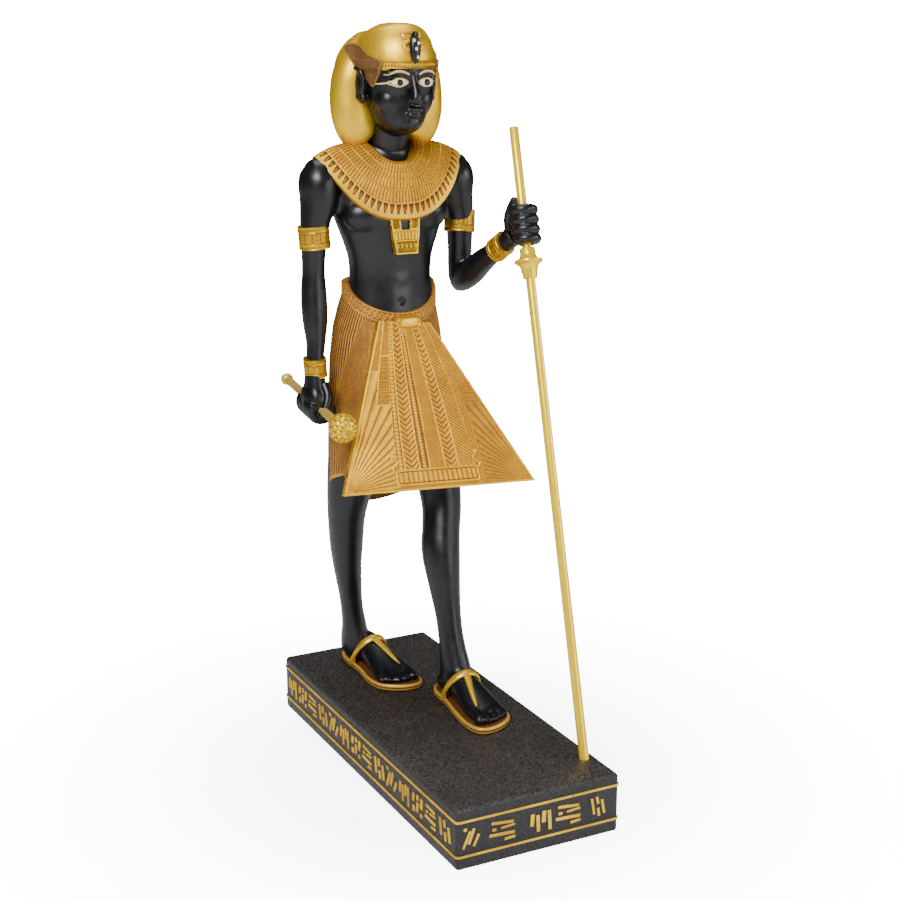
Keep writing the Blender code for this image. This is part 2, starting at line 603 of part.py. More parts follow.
def broad_collar(home):
    """The collar: rows of ridges between its neck rim and its outer rim."""
    rows = blend_stations(COLLAR_ROWS[2:6], 2 * COLLAR_RIDGES // 3)
    rings = [collar_ring(row) for row in COLLAR_ROWS[:2]]
    for index, row in enumerate(rows):
        lift = COLLAR_RIDGE_RELIEF if index % 2 else 0.0
        rings.append([point + Vector((0.0, 0.0, lift)) for point in collar_ring(row)])
    rings.extend(collar_ring(row) for row in COLLAR_ROWS[6:])
    return make_object(loft(rings), "collar", home)


def by_side(turn, front, side, back):
    """A height that changes evenly from the front, past the side, to the back."""
    depth = math.sin(turn)
    return side + (back - side) * depth if depth > 0.0 else side + (side - front) * depth


def girth(share):
    """Half width, half depth and middle of the kilt at a share of its drop."""
    rows = KILT_GIRTHS
    for low, high in zip(rows, rows[1:]):
        if share <= high[0]:
            t = (share - low[0]) / (high[0] - low[0])
            return [low[i] + (high[i] - low[i]) * t for i in (1, 2, 3)]
    return list(rows[-1][1:])


def kilt_ring(share, inset, relief):
    """A ring of the kilt, with a fold out and a fold in for each pleat."""
    half_width, half_depth, back = girth(share)
    ring = []
    for step in range(2 * KILT_PLEATS):
        turn = math.pi * step / KILT_PLEATS
        out = (relief if step % 2 else -relief) - inset
        top = by_side(turn, KILT_TOP_FRONT, KILT_TOP_SIDE, KILT_TOP_BACK)
        hem = by_side(turn, KILT_HEM_FRONT, KILT_HEM_SIDE, KILT_HEM_BACK)
        ring.append(Vector(((half_width + out) * math.cos(turn), back + (half_depth + out) * math.sin(turn),
                            top + (hem - top) * share)))
    return ring


def apron_edges(share):
    """Both edges of the apron's front face at a share of its drop."""
    return [top.lerp(foot, share) for top, foot in zip(APRON_TOP, APRON_FOOT)]


def skirt_front(home):
    """The cloth between the apron plate and the kilt: level rings, four corners each."""
    rings = []
    start = APRON_TOP[0].z - SKIRT_DROP
    for step in range(SKIRT_RINGS):
        up = start + (SKIRT_HEM - start) * step / (SKIRT_RINGS - 1)
        ring = []
        for top, foot, side in zip(APRON_TOP, APRON_FOOT, (1.0, -1.0)):
            share = max(0.0, (up - top.z) / (foot.z - top.z))
            ring.append(top.lerp(foot, share) + Vector((side * SKIRT_INSET, APRON_THICKNESS * 0.6, 0.0)))
        drop = (KILT_TOP_SIDE - up) / (KILT_TOP_SIDE - KILT_HEM_SIDE)
        half_width, half_depth, back = girth(min(1.0, drop))
        for side in (1.0, -1.0):
            ring.append(Vector((side * half_width * SKIRT_REACH, back - half_depth * SKIRT_DEPTH, up)))
        rings.append(ring)
    return make_object(loft(rings), "skirt", home)


def kilt(home):
    """Wrapped and pleated kilt, with a shallow recess under its hem."""
    shares = [step / (KILT_RINGS - 1) for step in range(KILT_RINGS)]
    wall = [kilt_ring(share, 0.0, KILT_PLEAT_RELIEF * min(1.0, share + 0.3)) for share in shares]
    body = make_object(loft(wall), "kilt", home)
    unite(body, [skirt_front(home)])
    recess = make_object(loft([kilt_ring(share, KILT_WALL, 0.0) for share in (KILT_RECESS, RECESS_END)]),
                         "kilt.recess", home)
    cut(body, recess)
    bpy.data.objects.remove(recess, do_unlink=True)
    return body


def apron_point(across, down):
    """A point of the apron's front face, from its shares across and down."""
    left, right = apron_edges(down)
    return left.lerp(right, across)


def apron_outward():
    """Direction that the apron's front face looks."""
    out = (APRON_FOOT[0] - APRON_TOP[0]).cross(APRON_TOP[1] - APRON_TOP[0]).normalized()
    return out if out.y < 0.0 else -out


def apron_solid(ring, lift, name, home):
    """A flat piece of the apron: an outline on its front face, with a thickness behind it."""
    out = apron_outward()
    rings = [[point - out * APRON_THICKNESS for point in ring], [point + out * lift for point in ring]]
    return make_object(loft(rings), name, home)


def apron_strip(start, end, half_start, half_end, home):
    """A raised strip of the apron between two points of its face."""
    side = (end - start).normalized().cross(apron_outward())
    ring = [start - side * half_start, end - side * half_end,
            end + side * half_end, start + side * half_start]
    return apron_solid(ring, APRON_RELIEF, "apron.strip", home)


def apron(home):
    """Triangular apron plate with its centre ribbon, the pleats that fan from its corners, and a border."""
    corners = [apron_point(*spot) for spot in ((0, 0), (1, 0), (1, 1), (0, 1))]
    plate = apron_solid(corners, 0.0, "apron", home)
    strips = []
    for top, foot in APRON_RIBBON:
        strips.append(apron_strip(apron_point(top, APRON_EDGE_GAP), apron_point(foot, APRON_BORDER),
                                  *APRON_LINE, home))
    foot_line = [apron_point(foot, APRON_BORDER + 0.02) for _, foot in APRON_RIBBON]
    strips.append(apron_strip(*foot_line, 0.6, 0.6, home))
    for side, (top, foot) in enumerate(APRON_RIBBON):
        corner = apron_point(1.0 - APRON_CORNER[0] if side else APRON_CORNER[0], APRON_CORNER[1])
        for index in range(APRON_PLEATS):
            down = APRON_FAN_FOOT - APRON_FAN_RISE * index / (APRON_PLEATS - 1)
            edge = foot + (top - foot) * (1.0 - down)
            inner = apron_point(edge + (APRON_EDGE_GAP if side else -APRON_EDGE_GAP), down)
            way = (inner - corner).normalized()
            strips.append(apron_strip(corner + way * APRON_FAN_START, inner, *APRON_RIB, home))
    unite(plate, strips)
    return plate


def belt(home):
    """Belt along the kilt's dipping top edge, with its oval buckle."""
    rings = []
    half_width, half_depth, back = girth(0.0)
    for drop, proud in ((BELT_HEIGHT, BELT_INSIDE), (BELT_HEIGHT, BELT_THICKNESS), (0.0, BELT_THICKNESS),
                        (0.0, BELT_INSIDE)):
        ring = []
        for step in range(BELT_SIDES):
            turn = 2.0 * math.pi * step / BELT_SIDES
            up = by_side(turn, KILT_TOP_FRONT, KILT_TOP_SIDE, KILT_TOP_BACK) + BELT_RISE - drop
            ring.append(Vector(((half_width + proud) * math.cos(turn),
                                back + (half_depth + proud) * math.sin(turn), up)))
        rings.append(ring)
    band = make_object(loft(rings), "belt", home)
    unite(band, [make_object(mass(BUCKLE, sides=10), "buckle", home)])
    return band


def band_solid(row, name, home):
    """A plain band round a limb."""
    middle, way, half_length, half_width, half_depth = row
    way = way.normalized()
    hint = Vector((1.0, 0.0, 0.0))
    across = (hint - way * hint.dot(way)).normalized()
    along = way.cross(across)
    rings = []
    for step in (-1.0, 1.0):
        rings.append(ellipse(middle + way * half_length * step, across, along, half_width, half_depth, 16))
    return make_object(loft(rings), name, home)


def pectoral(home):
    """Tapered plate that hangs from the collar."""
    middle, top_width, foot_width, height, thickness = PECTORAL
    rings = []
    for up, width in ((-height / 2.0, foot_width), (height / 2.0, top_width)):
        ring = [middle + Vector((x * width / 2.0, y * thickness / 2.0 + PECTORAL_LEAN * up, up))
                for x, y in ((-1, -1), (1, -1), (1, 1), (-1, 1))]
        rings.append(ring)
    return make_object(loft(rings), "pectoral", home)


def mirrored(rows):
    """The same rows on the figure's other side."""
    return tuple((-row[0], *row[1:]) for row in rows)


def serpent(home):
    """Hooded serpent at the brow, with the coils of its body on the dome."""
    hood = make_object(mass(SERPENT_HOOD, tilt=SERPENT_LEAN, sides=8), "serpent", home)
    parts = [make_object(mass(SERPENT_HEAD, sides=6), "serpent.head", home),
             make_object(limb(SERPENT_SPINE, sides=6, steps=1), "serpent.spine", home)]
    for rows in (SERPENT_COIL, mirrored(SERPENT_COIL)):
        coil = limb(rows, sides=5, steps=1, hint=Vector((0.0, 0.0, 1.0)))
        parts.append(make_object(coil, "serpent.coil", home))
    parts.append(make_object(limb(SERPENT_TAIL, sides=6, steps=1), "serpent.tail", home))
    unite(hood, parts)
    return hood


def drop_crumbs(thing):
    """Keep only the largest shell of a mesh."""
    bm = bmesh.new()
    bm.from_mesh(thing.data)
    left = set(bm.verts)
    shells = []
    while left:
        shell = [left.pop()]
        for vert in shell:
            for edge in vert.link_edges:
                other = edge.other_vert(vert)
                if other in left:
                    left.remove(other)
                    shell.append(other)
        shells.append(shell)
    shells.sort(key=len)
    for shell in shells[:-1]:
        bmesh.ops.delete(bm, geom=shell, context="VERTS")
    bm.to_mesh(thing.data)
    bm.free()


def make_figure(home, cutters, material):
    """The whole casting: skin, head cloth, collar, belt, kilt, apron, bands and sandals."""
    skin = [limb(TRUNK, sides=24)]
    skin.extend(limb(rows, sides=18, hint=Vector((0.0, 1.0, 0.0))) for rows in (YOKE, mirrored(YOKE)))
    skin.extend(limb(rows, sides=18)
                for rows in (RIGHT_ARM, LEFT_UPPER_ARM, LEFT_FOREARM, RIGHT_LEG, LEFT_LEG))
    skin.extend(mass(row) for row in CHEST_MASSES)
    for foot in FEET:
        skin.extend(foot_shapes(foot))
    figure = model_soft(skin, "figure", home, BODY_VOXEL, BODY_PASSES, SKIN_TRIANGLES)
    hands = model_soft(hand_shapes(), "hands", home, FINE_VOXEL, BODY_PASSES, HAND_TRIANGLES)
    face = [limb(HEAD_RINGS, sides=24), limb(NOSE, sides=10)]
    face.extend(mass(row) for row in FACE_MASSES)
    face.extend(mass(row) for row in EAR_MASSES)
    head = model_soft(face, "head", home, FINE_VOXEL, FACE_PASSES, HEAD_TRIANGLES)
    cloth = [limb(rows, sides=28)
             for rows in (CLOTH_BAG, CLOTH_LOBE, mirrored(CLOTH_LOBE), CLOTH_DOME, CLOTH_TAIL)]
    cloth = model_soft(cloth, "cloth", home, BODY_VOXEL, CLOTH_PASSES, CLOTH_TRIANGLES)
    brow = [oval_ring(up, BROW_BAND_BACK, wide, deep, BROW_BAND_SIDES) for up, wide, deep in BROW_BAND]
    band = make_object(loft(brow), "brow", home)
    pieces = [hands, head, cloth, band, serpent(home), broad_collar(home), pectoral(home), kilt(home),
              apron(home), belt(home)]
    for index, row in enumerate(LIMB_BANDS):
        pieces.append(band_solid(row, "band%d" % index, home))
    for foot in FEET:
        pieces.append(sole(foot, "sole", home))
        pieces.append(straps(foot, "straps", home))
    unite(figure, pieces)
    drop_crumbs(figure)
    for name, point, way, radius in (("bore.staff", FIGURE @ STAFF_HAND, staff_direction()[1], STAFF_RADIUS),
                                     ("bore.mace", FIGURE @ MACE_FIST, mace_direction(), MACE_SHAFT_RADIUS)):
        bore = rod_cutter(name, point, way, radius + ROD_CLEARANCE, BORE_LENGTH, cutters)
        cut(figure, bore)
    figure.data.materials.clear()
    figure.data.materials.append(material)
    figure.data.shade_smooth()
    figure.data.set_sharp_from_angle(angle=SHARP_ANGLE)
    return figure


def rod_cutter(name, middle, way, radius, length, cutters):
    """A round cutter along a direction."""
    bm = bmesh.new()
    turn = Vector((0.0, 0.0, 1.0)).rotation_difference(way).to_matrix().to_4x4()
    matrix = Matrix.Translation(middle) @ turn
    bmesh.ops.create_cone(bm, cap_ends=True, segments=BORE_SIDES, radius1=radius * MM, radius2=radius * MM,
                          depth=length * MM, matrix=matrix)
    return make_object(bm, name, cutters)


def make_plinth(home, cutters, material):
    """Rounded block with two raised lines round it, rows of strokes between them and the staff's socket."""
    bm = bmesh.new()
    size = Matrix.Diagonal((PLINTH_WIDTH * MM, PLINTH_LENGTH * MM, PLINTH_HEIGHT * MM, 1.0))
    bmesh.ops.create_cube(bm, size=1.0, matrix=Matrix.Translation((0.0, 0.0, PLINTH_HEIGHT * MM / 2)) @ size)
    plinth = make_object(bm, "plinth", home)
    rounding = plinth.modifiers.new("rounding", "BEVEL")
    rounding.width = PLINTH_ROUNDING * MM
    rounding.segments = ROUNDING_STEPS
    apply_modifiers(plinth)
    extras = []
    for up in LINE_HEIGHTS:
        bm = bmesh.new()
        size = Matrix.Diagonal(((PLINTH_WIDTH + 2 * LINE_RELIEF) * MM,
                                (PLINTH_LENGTH + 2 * LINE_RELIEF) * MM, LINE_WIDTH * MM, 1.0))
        bmesh.ops.create_cube(bm, size=1.0, matrix=Matrix.Translation((0.0, 0.0, up * MM)) @ size)
        upright = [edge for edge in bm.edges
                   if abs(edge.verts[0].co.z - edge.verts[1].co.z) > LINE_WIDTH * MM / 2]
        bmesh.ops.bevel(bm, geom=upright, offset=PLINTH_ROUNDING * MM, offset_type="OFFSET",
                        segments=ROUNDING_STEPS, profile=0.5, affect="EDGES", material=-1)
        extras.append(make_object(bm, "line", home))
    extras.append(gather(sign_strokes(), "signs", home))
    unite(plinth, extras)
    foot, way = staff_direction()
    socket = rod_cutter("socket", foot, way, STAFF_RADIUS + ROD_CLEARANCE,
                        2 * (STAFF_SOCKET_DEPTH + TOUCHING_GAP), cutters)
    cut(plinth, socket)
    plinth.data.materials.clear()
    plinth.data.materials.append(material)
    return plinth


def sign_strokes():
    """Shallow upright and level strokes in groups round the band, which spell nothing."""
    strokes = []
    for length, half, axis in ((PLINTH_LENGTH, PLINTH_WIDTH / 2, "side"),
                               (PLINTH_WIDTH, PLINTH_LENGTH / 2, "end")):
        count = int((length - 2 * SIGN_END_MARGIN) / SIGN_PITCH)
        for side in (-1.0, 1.0):
            for index in range(count):
                along = (index - (count - 1) / 2.0) * SIGN_PITCH
                kind = index % 3
                tall = SIGN_HEIGHT * (1.0 if kind != 1 else 0.42)
                wide = SIGN_STROKE * (1.0 if kind != 1 else 2.4)
                up = SIGN_BAND_MIDDLE + (0.0 if kind != 1 else SIGN_HEIGHT * 0.22 * (1 if index % 2 else -1))
                if axis == "side":
                    size = (2 * SIGN_RELIEF, wide, tall)
                    spot = (side * half, along, up)
                else:
                    size = (wide, 2 * SIGN_RELIEF, tall)
                    spot = (along, side * half, up)
                bm = bmesh.new()
                bmesh.ops.create_cube(bm, size=1.0, matrix=Matrix.Translation(Vector(spot) * MM)
                                      @ Matrix.Diagonal((*(Vector(size) * MM), 1.0)))
                strokes.append(bm)
    return strokes


def turned(name, profile, steps, home, origin, way, material):
    """A turned piece: its profile runs down its outer side and turns about its own axis."""
    bm = bmesh.new()
    verts = [bm.verts.new((radius * MM, 0.0, height * MM)) for radius, height in profile]
    for upper, lower in zip(verts, verts[1:]):
        bm.edges.new((upper, lower))
    piece = make_object(bm, name, home)
    piece.location = origin
    piece.rotation_mode = "QUATERNION"
    piece.rotation_quaternion = Vector((0.0, 0.0, 1.0)).rotation_difference(way)
    turn = piece.modifiers.new("turn", "SCREW")
    turn.steps = steps
    turn.render_steps = steps
    turn.use_merge_vertices = True
    turn.merge_threshold = 0.0001
    turn.use_smooth_shade = True
    piece.data.materials.append(material)
    return piece


def make_staff(home, material):
    """Plain rod through the left hand, with a sleeve, a flange and a collet under the hand."""
    foot, way = staff_direction()
    hand = (FIGURE @ STAFF_HAND - foot).length / MM
    top = hand + STAFF_ABOVE_HAND
    profile = (
        (0.0, top), (STAFF_RADIUS - 0.3, top), (STAFF_RADIUS, top - 0.4), (STAFF_RADIUS, hand - SLEEVE_TOP),
        (SLEEVE_RADIUS, hand - SLEEVE_TOP - 0.3), (SLEEVE_RADIUS, hand - FLANGE_DROP + 2.2),
        (SLEEVE_RADIUS + SLEEVE_FLARE, hand - FLANGE_DROP + 0.5), (FLANGE_RADIUS, hand - FLANGE_DROP),
        (FLANGE_RADIUS, hand - FLANGE_DROP - FLANGE_THICKNESS),
        (COLLET_RADIUS + 0.4, hand - FLANGE_DROP - FLANGE_THICKNESS - 1.6),
        (COLLET_RADIUS, hand - FLANGE_DROP - FLANGE_THICKNESS - 3.2),
        (COLLET_RADIUS - 0.5, hand - COLLET_END), (STAFF_RADIUS, hand - COLLET_END - 0.2),
        (STAFF_RADIUS, -STAFF_SOCKET_DEPTH), (0.0, -STAFF_SOCKET_DEPTH),
    )
    return turned("staff", profile, ROD_STEPS, home, foot, way, material)


def make_mace(home, material):
    """Short rod through the right fist, with a ball head in front and a small knob behind."""
    ball = []
    shaft_turn = math.asin(MACE_SHAFT_RADIUS / MACE_HEAD_RADIUS)
    for step in range(BALL_STEPS + 1):
        turn = shaft_turn + (math.pi - shaft_turn) * step / BALL_STEPS
        ball.append((MACE_HEAD_RADIUS * math.sin(turn), MACE_HEAD_REACH - MACE_HEAD_RADIUS * math.cos(turn)))
    ball.reverse()
    ball[0] = (0.0, MACE_HEAD_REACH + MACE_HEAD_RADIUS)
    knob = []
    knob_turn = math.asin(MACE_SHAFT_RADIUS / MACE_BUTT_RADIUS)
    for step in range(KNOB_STEPS + 1):
        turn = knob_turn + (math.pi - knob_turn) * step / KNOB_STEPS
        knob.append((MACE_BUTT_RADIUS * math.sin(turn),
                     -MACE_BUTT_REACH + MACE_BUTT_RADIUS * math.cos(turn)))
    knob[-1] = (0.0, -MACE_BUTT_REACH - MACE_BUTT_RADIUS)
    return turned("mace", tuple(ball + knob), ROD_STEPS, home, FIGURE @ MACE_FIST, mace_direction(),
                  material)


def main():
    """Build the four pieces."""
    clear_scene()
    home = make_collection("striding_figure")
    cutters = make_collection("cutters")
    painted = make_material("resin_black_and_gold", (0.06, 0.05, 0.045), 0.35, 0.1)
    stone = make_material("plinth_charcoal", (0.05, 0.05, 0.052), 0.55, 0.0)
    gilt = make_material("gilt_brass", (0.78, 0.56, 0.18), 0.28, 0.9)
    make_plinth(home, cutters, stone)
    make_figure(home, cutters, painted)
    make_staff(home, gilt)
    make_mace(home, gilt)


main()
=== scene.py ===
"""Looks of a table-top cast resin figure: a striding figure with a staff and a mace on a long plinth.

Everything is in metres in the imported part's own frame: +Z up, the figure faces -Y and its left
hand is at +X. The figure is drawn in millimetres from an origin between its feet on the plinth's
top, and FIGURE turns that drawing into the part's frame.
"""
import logging
import math
from dataclasses import dataclass
from enum import Enum
from typing import Callable, Iterable, Optional, Sequence

import bmesh
import bpy
import numpy as np
from mathutils import Matrix, Vector
from mathutils.bvhtree import BVHTree


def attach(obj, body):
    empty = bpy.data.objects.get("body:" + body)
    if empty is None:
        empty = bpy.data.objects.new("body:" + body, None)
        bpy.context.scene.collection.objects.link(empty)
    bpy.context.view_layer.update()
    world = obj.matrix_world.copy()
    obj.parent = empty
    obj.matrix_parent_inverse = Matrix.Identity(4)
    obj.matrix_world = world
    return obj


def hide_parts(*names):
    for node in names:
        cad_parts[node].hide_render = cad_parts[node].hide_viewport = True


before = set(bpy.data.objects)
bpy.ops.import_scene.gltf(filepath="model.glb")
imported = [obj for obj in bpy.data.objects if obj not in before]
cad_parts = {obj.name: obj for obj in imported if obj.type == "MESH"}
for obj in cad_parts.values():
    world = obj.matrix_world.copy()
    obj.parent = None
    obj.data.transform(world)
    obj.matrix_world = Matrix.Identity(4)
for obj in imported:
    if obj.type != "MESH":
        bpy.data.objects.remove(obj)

LOG = logging.getLogger("figure")

MM = 0.001
PLINTH_HEIGHT = 25.0
FIGURE_HEIGHT = 284.7
FIGURE_SETBACK = 45.0
DRAWN_HEIGHT = 285.0
TOUCHING_GAP = 0.3
FIGURE = (Matrix.Translation(Vector((0.0, FIGURE_SETBACK, PLINTH_HEIGHT + TOUCHING_GAP)) * MM)
          @ Matrix.Scale(FIGURE_HEIGHT / DRAWN_HEIGHT * MM, 4))

TURN = 2.0 * math.pi
ACROSS = Vector((1.0, 0.0, 0.0))
BACKWARD = Vector((0.0, 1.0, 0.0))
UPWARD = Vector((0.0, 0.0, 1.0))

Row = tuple[float, ...]
Rows = tuple[Row, ...]
Ring = list[Vector]
Colour = tuple[float, float, float]
Measure = float | np.ndarray
Shape = bmesh.types.BMesh
Edges = Sequence[bmesh.types.BMEdge]
Piece = bpy.types.Object
Material = bpy.types.Material
Tree = bpy.types.NodeTree
Socket = bpy.types.NodeSocket


class Slot(Enum):
    """The record's material slots."""

    PLINTH = "plinth"
    FIGURE = "figure"
    STAFF = "staff"
    MACE = "mace"


class Crease(Enum):
    """The angle in degrees from which a kind of surface keeps an edge sharp."""

    SOFT = 80.0
    PLEATED = 60.0
    CARVED = 50.0
    PAINTED = 40.0
    TURNED = 35.0
    BOXED = 30.0


# Shaping


def blend_rows(rows: Sequence[Row], steps: int) -> list[Vector]:
    """Read a smooth curve through rows of numbers.

    Args:
        rows: the stations, each a tuple of the same length.
        steps: how many stations to give between each two rows.

    Returns:
        The stations of the curve, the given rows among them.
    """
    points = [Vector(row) for row in rows]
    smooth = []
    for index in range(len(points) - 1):
        near = (min(max(index + k, 0), len(points) - 1) for k in (-1, 0, 1, 2))
        before, start, end, after = (points[k] for k in near)
        for step in range(steps):
            t = step / steps
            smooth.append(0.5 * (2.0 * start + (end - before) * t
                                 + (2.0 * before - 5.0 * start + 4.0 * end - after) * t * t
                                 + (3.0 * start - before - 3.0 * end + after) * t * t * t))
    smooth.append(points[-1])
    return smooth


def mirrored(rows: Sequence[Row]) -> Rows:
    """The same rows on the figure's other side."""
    return tuple((-row[0], *row[1:]) for row in rows)


def both_sides(rows: Sequence[Row]) -> list[Row]:
    """Each row, and after it its twin on the other side unless it lies in the middle."""
    return [twin for row in rows for twin in ((row, *mirrored([row])) if row[0] else (row,))]


def square_to(hint: Vector, way: Vector) -> Vector:
    """The direction nearest to a hint that is square to a way."""
    return (hint - way * hint.dot(way)).normalized()


def by_side(turn: float, front: float, side: float, back: float) -> float:
    """A value that changes evenly from the front, past the side, to the back.

    Args:
        turn: angle round the figure, 0 at its left and a quarter turn at its back.
        front, side, back: the value at each of the three.

    Returns:
        The value at that angle.
    """
    depth = math.sin(turn)
    return side + (back - side) * depth if depth > 0.0 else side + (side - front) * depth


def ellipse(middle: Vector, across: Vector, along: Vector, wide: float, deep: float, sides: int) -> Ring:
    """Points on an ellipse in the plane of two directions."""
    turns = (TURN * side / sides for side in range(sides))
    return [middle + across * (wide * math.cos(turn)) + along * (deep * math.sin(turn)) for turn in turns]


def round_turns(sides: int) -> np.ndarray:
    """Even angles once round, from the figure's left by its back."""
    return np.linspace(0.0, TURN, sides, endpoint=False)


def hoop(turns: np.ndarray, wide: Measure, deep: Measure, back: float, up: Measure) -> np.ndarray:
    """Points round an upright oval.

    Args:
        turns: their angles.
        wide, deep: half width and half depth, one for all points or one for each.
        back: how far back the middle lies.
        up: height, one for all points or one for each.

    Returns:
        An array of points by 3.
    """
    levels = np.broadcast_to(up, turns.shape)
    return np.stack([wide * np.cos(turns), back + deep * np.sin(turns), levels], axis=1)


def grow(bm: Shape, edges: Edges) -> tuple[list[bmesh.types.BMVert], Edges]:
    """Extrude a closed run of edges, and find the new points and the edges between them."""
    grown = bmesh.ops.extrude_edge_only(bm, edges=edges)["geom"]
    fresh = [part for part in grown if isinstance(part, bmesh.types.BMVert)]
    inner = set(fresh)
    far = [part for part in grown if isinstance(part, bmesh.types.BMEdge) and inner.issuperset(part.verts)]
    return fresh, far


def close(bm: Shape, rim: Edges) -> None:
    """Close a run of edges with a fan of triangles."""
    bmesh.ops.poke(bm, faces=bmesh.ops.contextual_create(bm, geom=rim)["faces"])


def put(bm: Shape, place: Matrix) -> Shape:
    """Turn a closed shape's faces outwards and move it to its place."""
    bmesh.ops.recalc_face_normals(bm, faces=bm.faces)
    bmesh.ops.transform(bm, matrix=place, verts=bm.verts)
    return bm


def loft(rings: Sequence[Ring], relief: Optional[Sequence[Sequence[float]]] = None,
         place: Matrix = FIGURE) -> Shape:
    """Skin closed rings of points and close both ends.

    Args:
        rings: rings with one count of points, first to last.
        relief: for each point how far it stands up, from 0 in a recess to 1 on a ridge.
        place: matrix from the drawing to the part's frame.

    Returns:
        The closed bmesh.
    """
    bm = bmesh.new()
    number = bm.verts.layers.int.new("number")
    ring_number = bm.verts.layers.int.new("ring")
    height = bm.verts.layers.float.new("relief")
    first = bmesh.ops.create_circle(bm, cap_ends=False, segments=len(rings[0]), radius=1.0)["verts"]
    for index, vert in enumerate(first):
        vert[number] = index
        vert.co = rings[0][index]
    start = bm.edges[:]
    edges = start
    for level, ring in enumerate(rings[1:], start=1):
        fresh, edges = grow(bm, edges)
        for vert in fresh:
            vert[ring_number] = level
            vert.co = ring[vert[number]]
    if relief is not None:
        for vert in bm.verts:
            vert[height] = relief[vert[ring_number]][vert[number]]
    close(bm, start)
    close(bm, edges)
    return put(bm, place)


def limb(rows: Sequence[Row], sides: int = 32, steps: int = 6, hint: Vector = ACROSS) -> Shape:
    """A rounded limb through rows of middle, half width and half depth.

    Args:
        rows: the stations.
        sides: points round the limb.
        steps: rings between each two stations.
        hint: direction of the half widths.

    Returns:
        The closed bmesh.
    """
    stations = blend_rows(rows, steps)
    middles = [Vector(row[:3]) for row in stations]
    rings = []
    for index, row in enumerate(stations):
        way = (middles[min(index + 1, len(middles) - 1)] - middles[max(index - 1, 0)]).normalized()
        across = square_to(hint, way)
        rings.append(ellipse(middles[index], across, way.cross(across), row[3], row[4], sides))
    return loft(rings)


def mass(row: Row, tilt: float = 0.0, sides: int = 32) -> Shape:
    """An egg-shaped mass from its middle and its three radii."""
    bm = bmesh.new()
    matrix = (FIGURE @ Matrix.Translation(Vector(row[:3])) @ Matrix.Rotation(tilt, 4, "X")
              @ Matrix.Diagonal((*row[3:6], 1.0)))
    bmesh.ops.create_uvsphere(bm, u_segments=sides, v_segments=sides // 2, radius=1.0, matrix=matrix)
    return bm


def joined(shapes: Iterable[Shape]) -> Shape:
    """Put several bmeshes into one, as they are."""
    whole = bmesh.new()
    for shape in shapes:
        mesh = bpy.data.meshes.new("shape")
        shape.to_mesh(mesh)
        shape.free()
        whole.from_mesh(mesh)
        bpy.data.meshes.remove(mesh)
    return whole


def new_object(name: str, data: bpy.types.ID) -> Piece:
    """Put a mesh, a light or a camera into the scene."""
    made = bpy.data.objects.new(name, data)
    bpy.context.scene.collection.objects.link(made)
    return made


def stamp(bm: Shape, name: str) -> Piece:
    """Turn a bmesh into an object of the scene."""
    mesh = bpy.data.meshes.new(name)
    bm.to_mesh(mesh)
    bm.free()
    return new_object(name, mesh)


def settle(thing: Piece) -> None:
    """Replace an object's mesh by the one its modifiers give."""
    depsgraph = bpy.context.evaluated_depsgraph_get()
    depsgraph.update()
    mesh = bpy.data.meshes.new_from_object(thing.evaluated_get(depsgraph))
    thing.modifiers.clear()
    thing.data = mesh


def fuse(shapes: Iterable[Shape], name: str, voxel: float, passes: int) -> Piece:
    """Fuse overlapping shapes into one smooth skin.

    Args:
        shapes: closed bmeshes that overlap.
        name: the piece's name.
        voxel: how finely they are fused, in millimetres.
        passes: how often the skin is relaxed.

    Returns:
        The piece.
    """
    made = stamp(joined(shapes), name)
    step = made.modifiers.new("fuse", "REMESH")
    step.mode = "VOXEL"
    step.voxel_size = voxel * MM
    relax = made.modifiers.new("relax", "SMOOTH")
    relax.factor = 0.5
    relax.iterations = passes
    settle(made)
    return made


def dress(piece: Piece, finish: Material, crease: Crease = Crease.PAINTED,
          slot: Slot = Slot.FIGURE) -> Piece:
    """Paint a piece, shade it and let it ride on the part's body.

    Args:
        piece: the finished object.
        finish: its material.
        crease: which edges stay sharp.
        slot: the record's slot that it takes its finish from; not used.

    Returns:
        The piece.
    """
    piece.data.materials.clear()
    piece.data.materials.append(finish)
    piece.data.shade_smooth()
    piece.data.set_sharp_from_angle(angle=math.radians(crease.value))
    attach(piece, "root")
    LOG.info("%s: %d faces", piece.name, len(piece.data.polygons))
    return piece


# Finishes


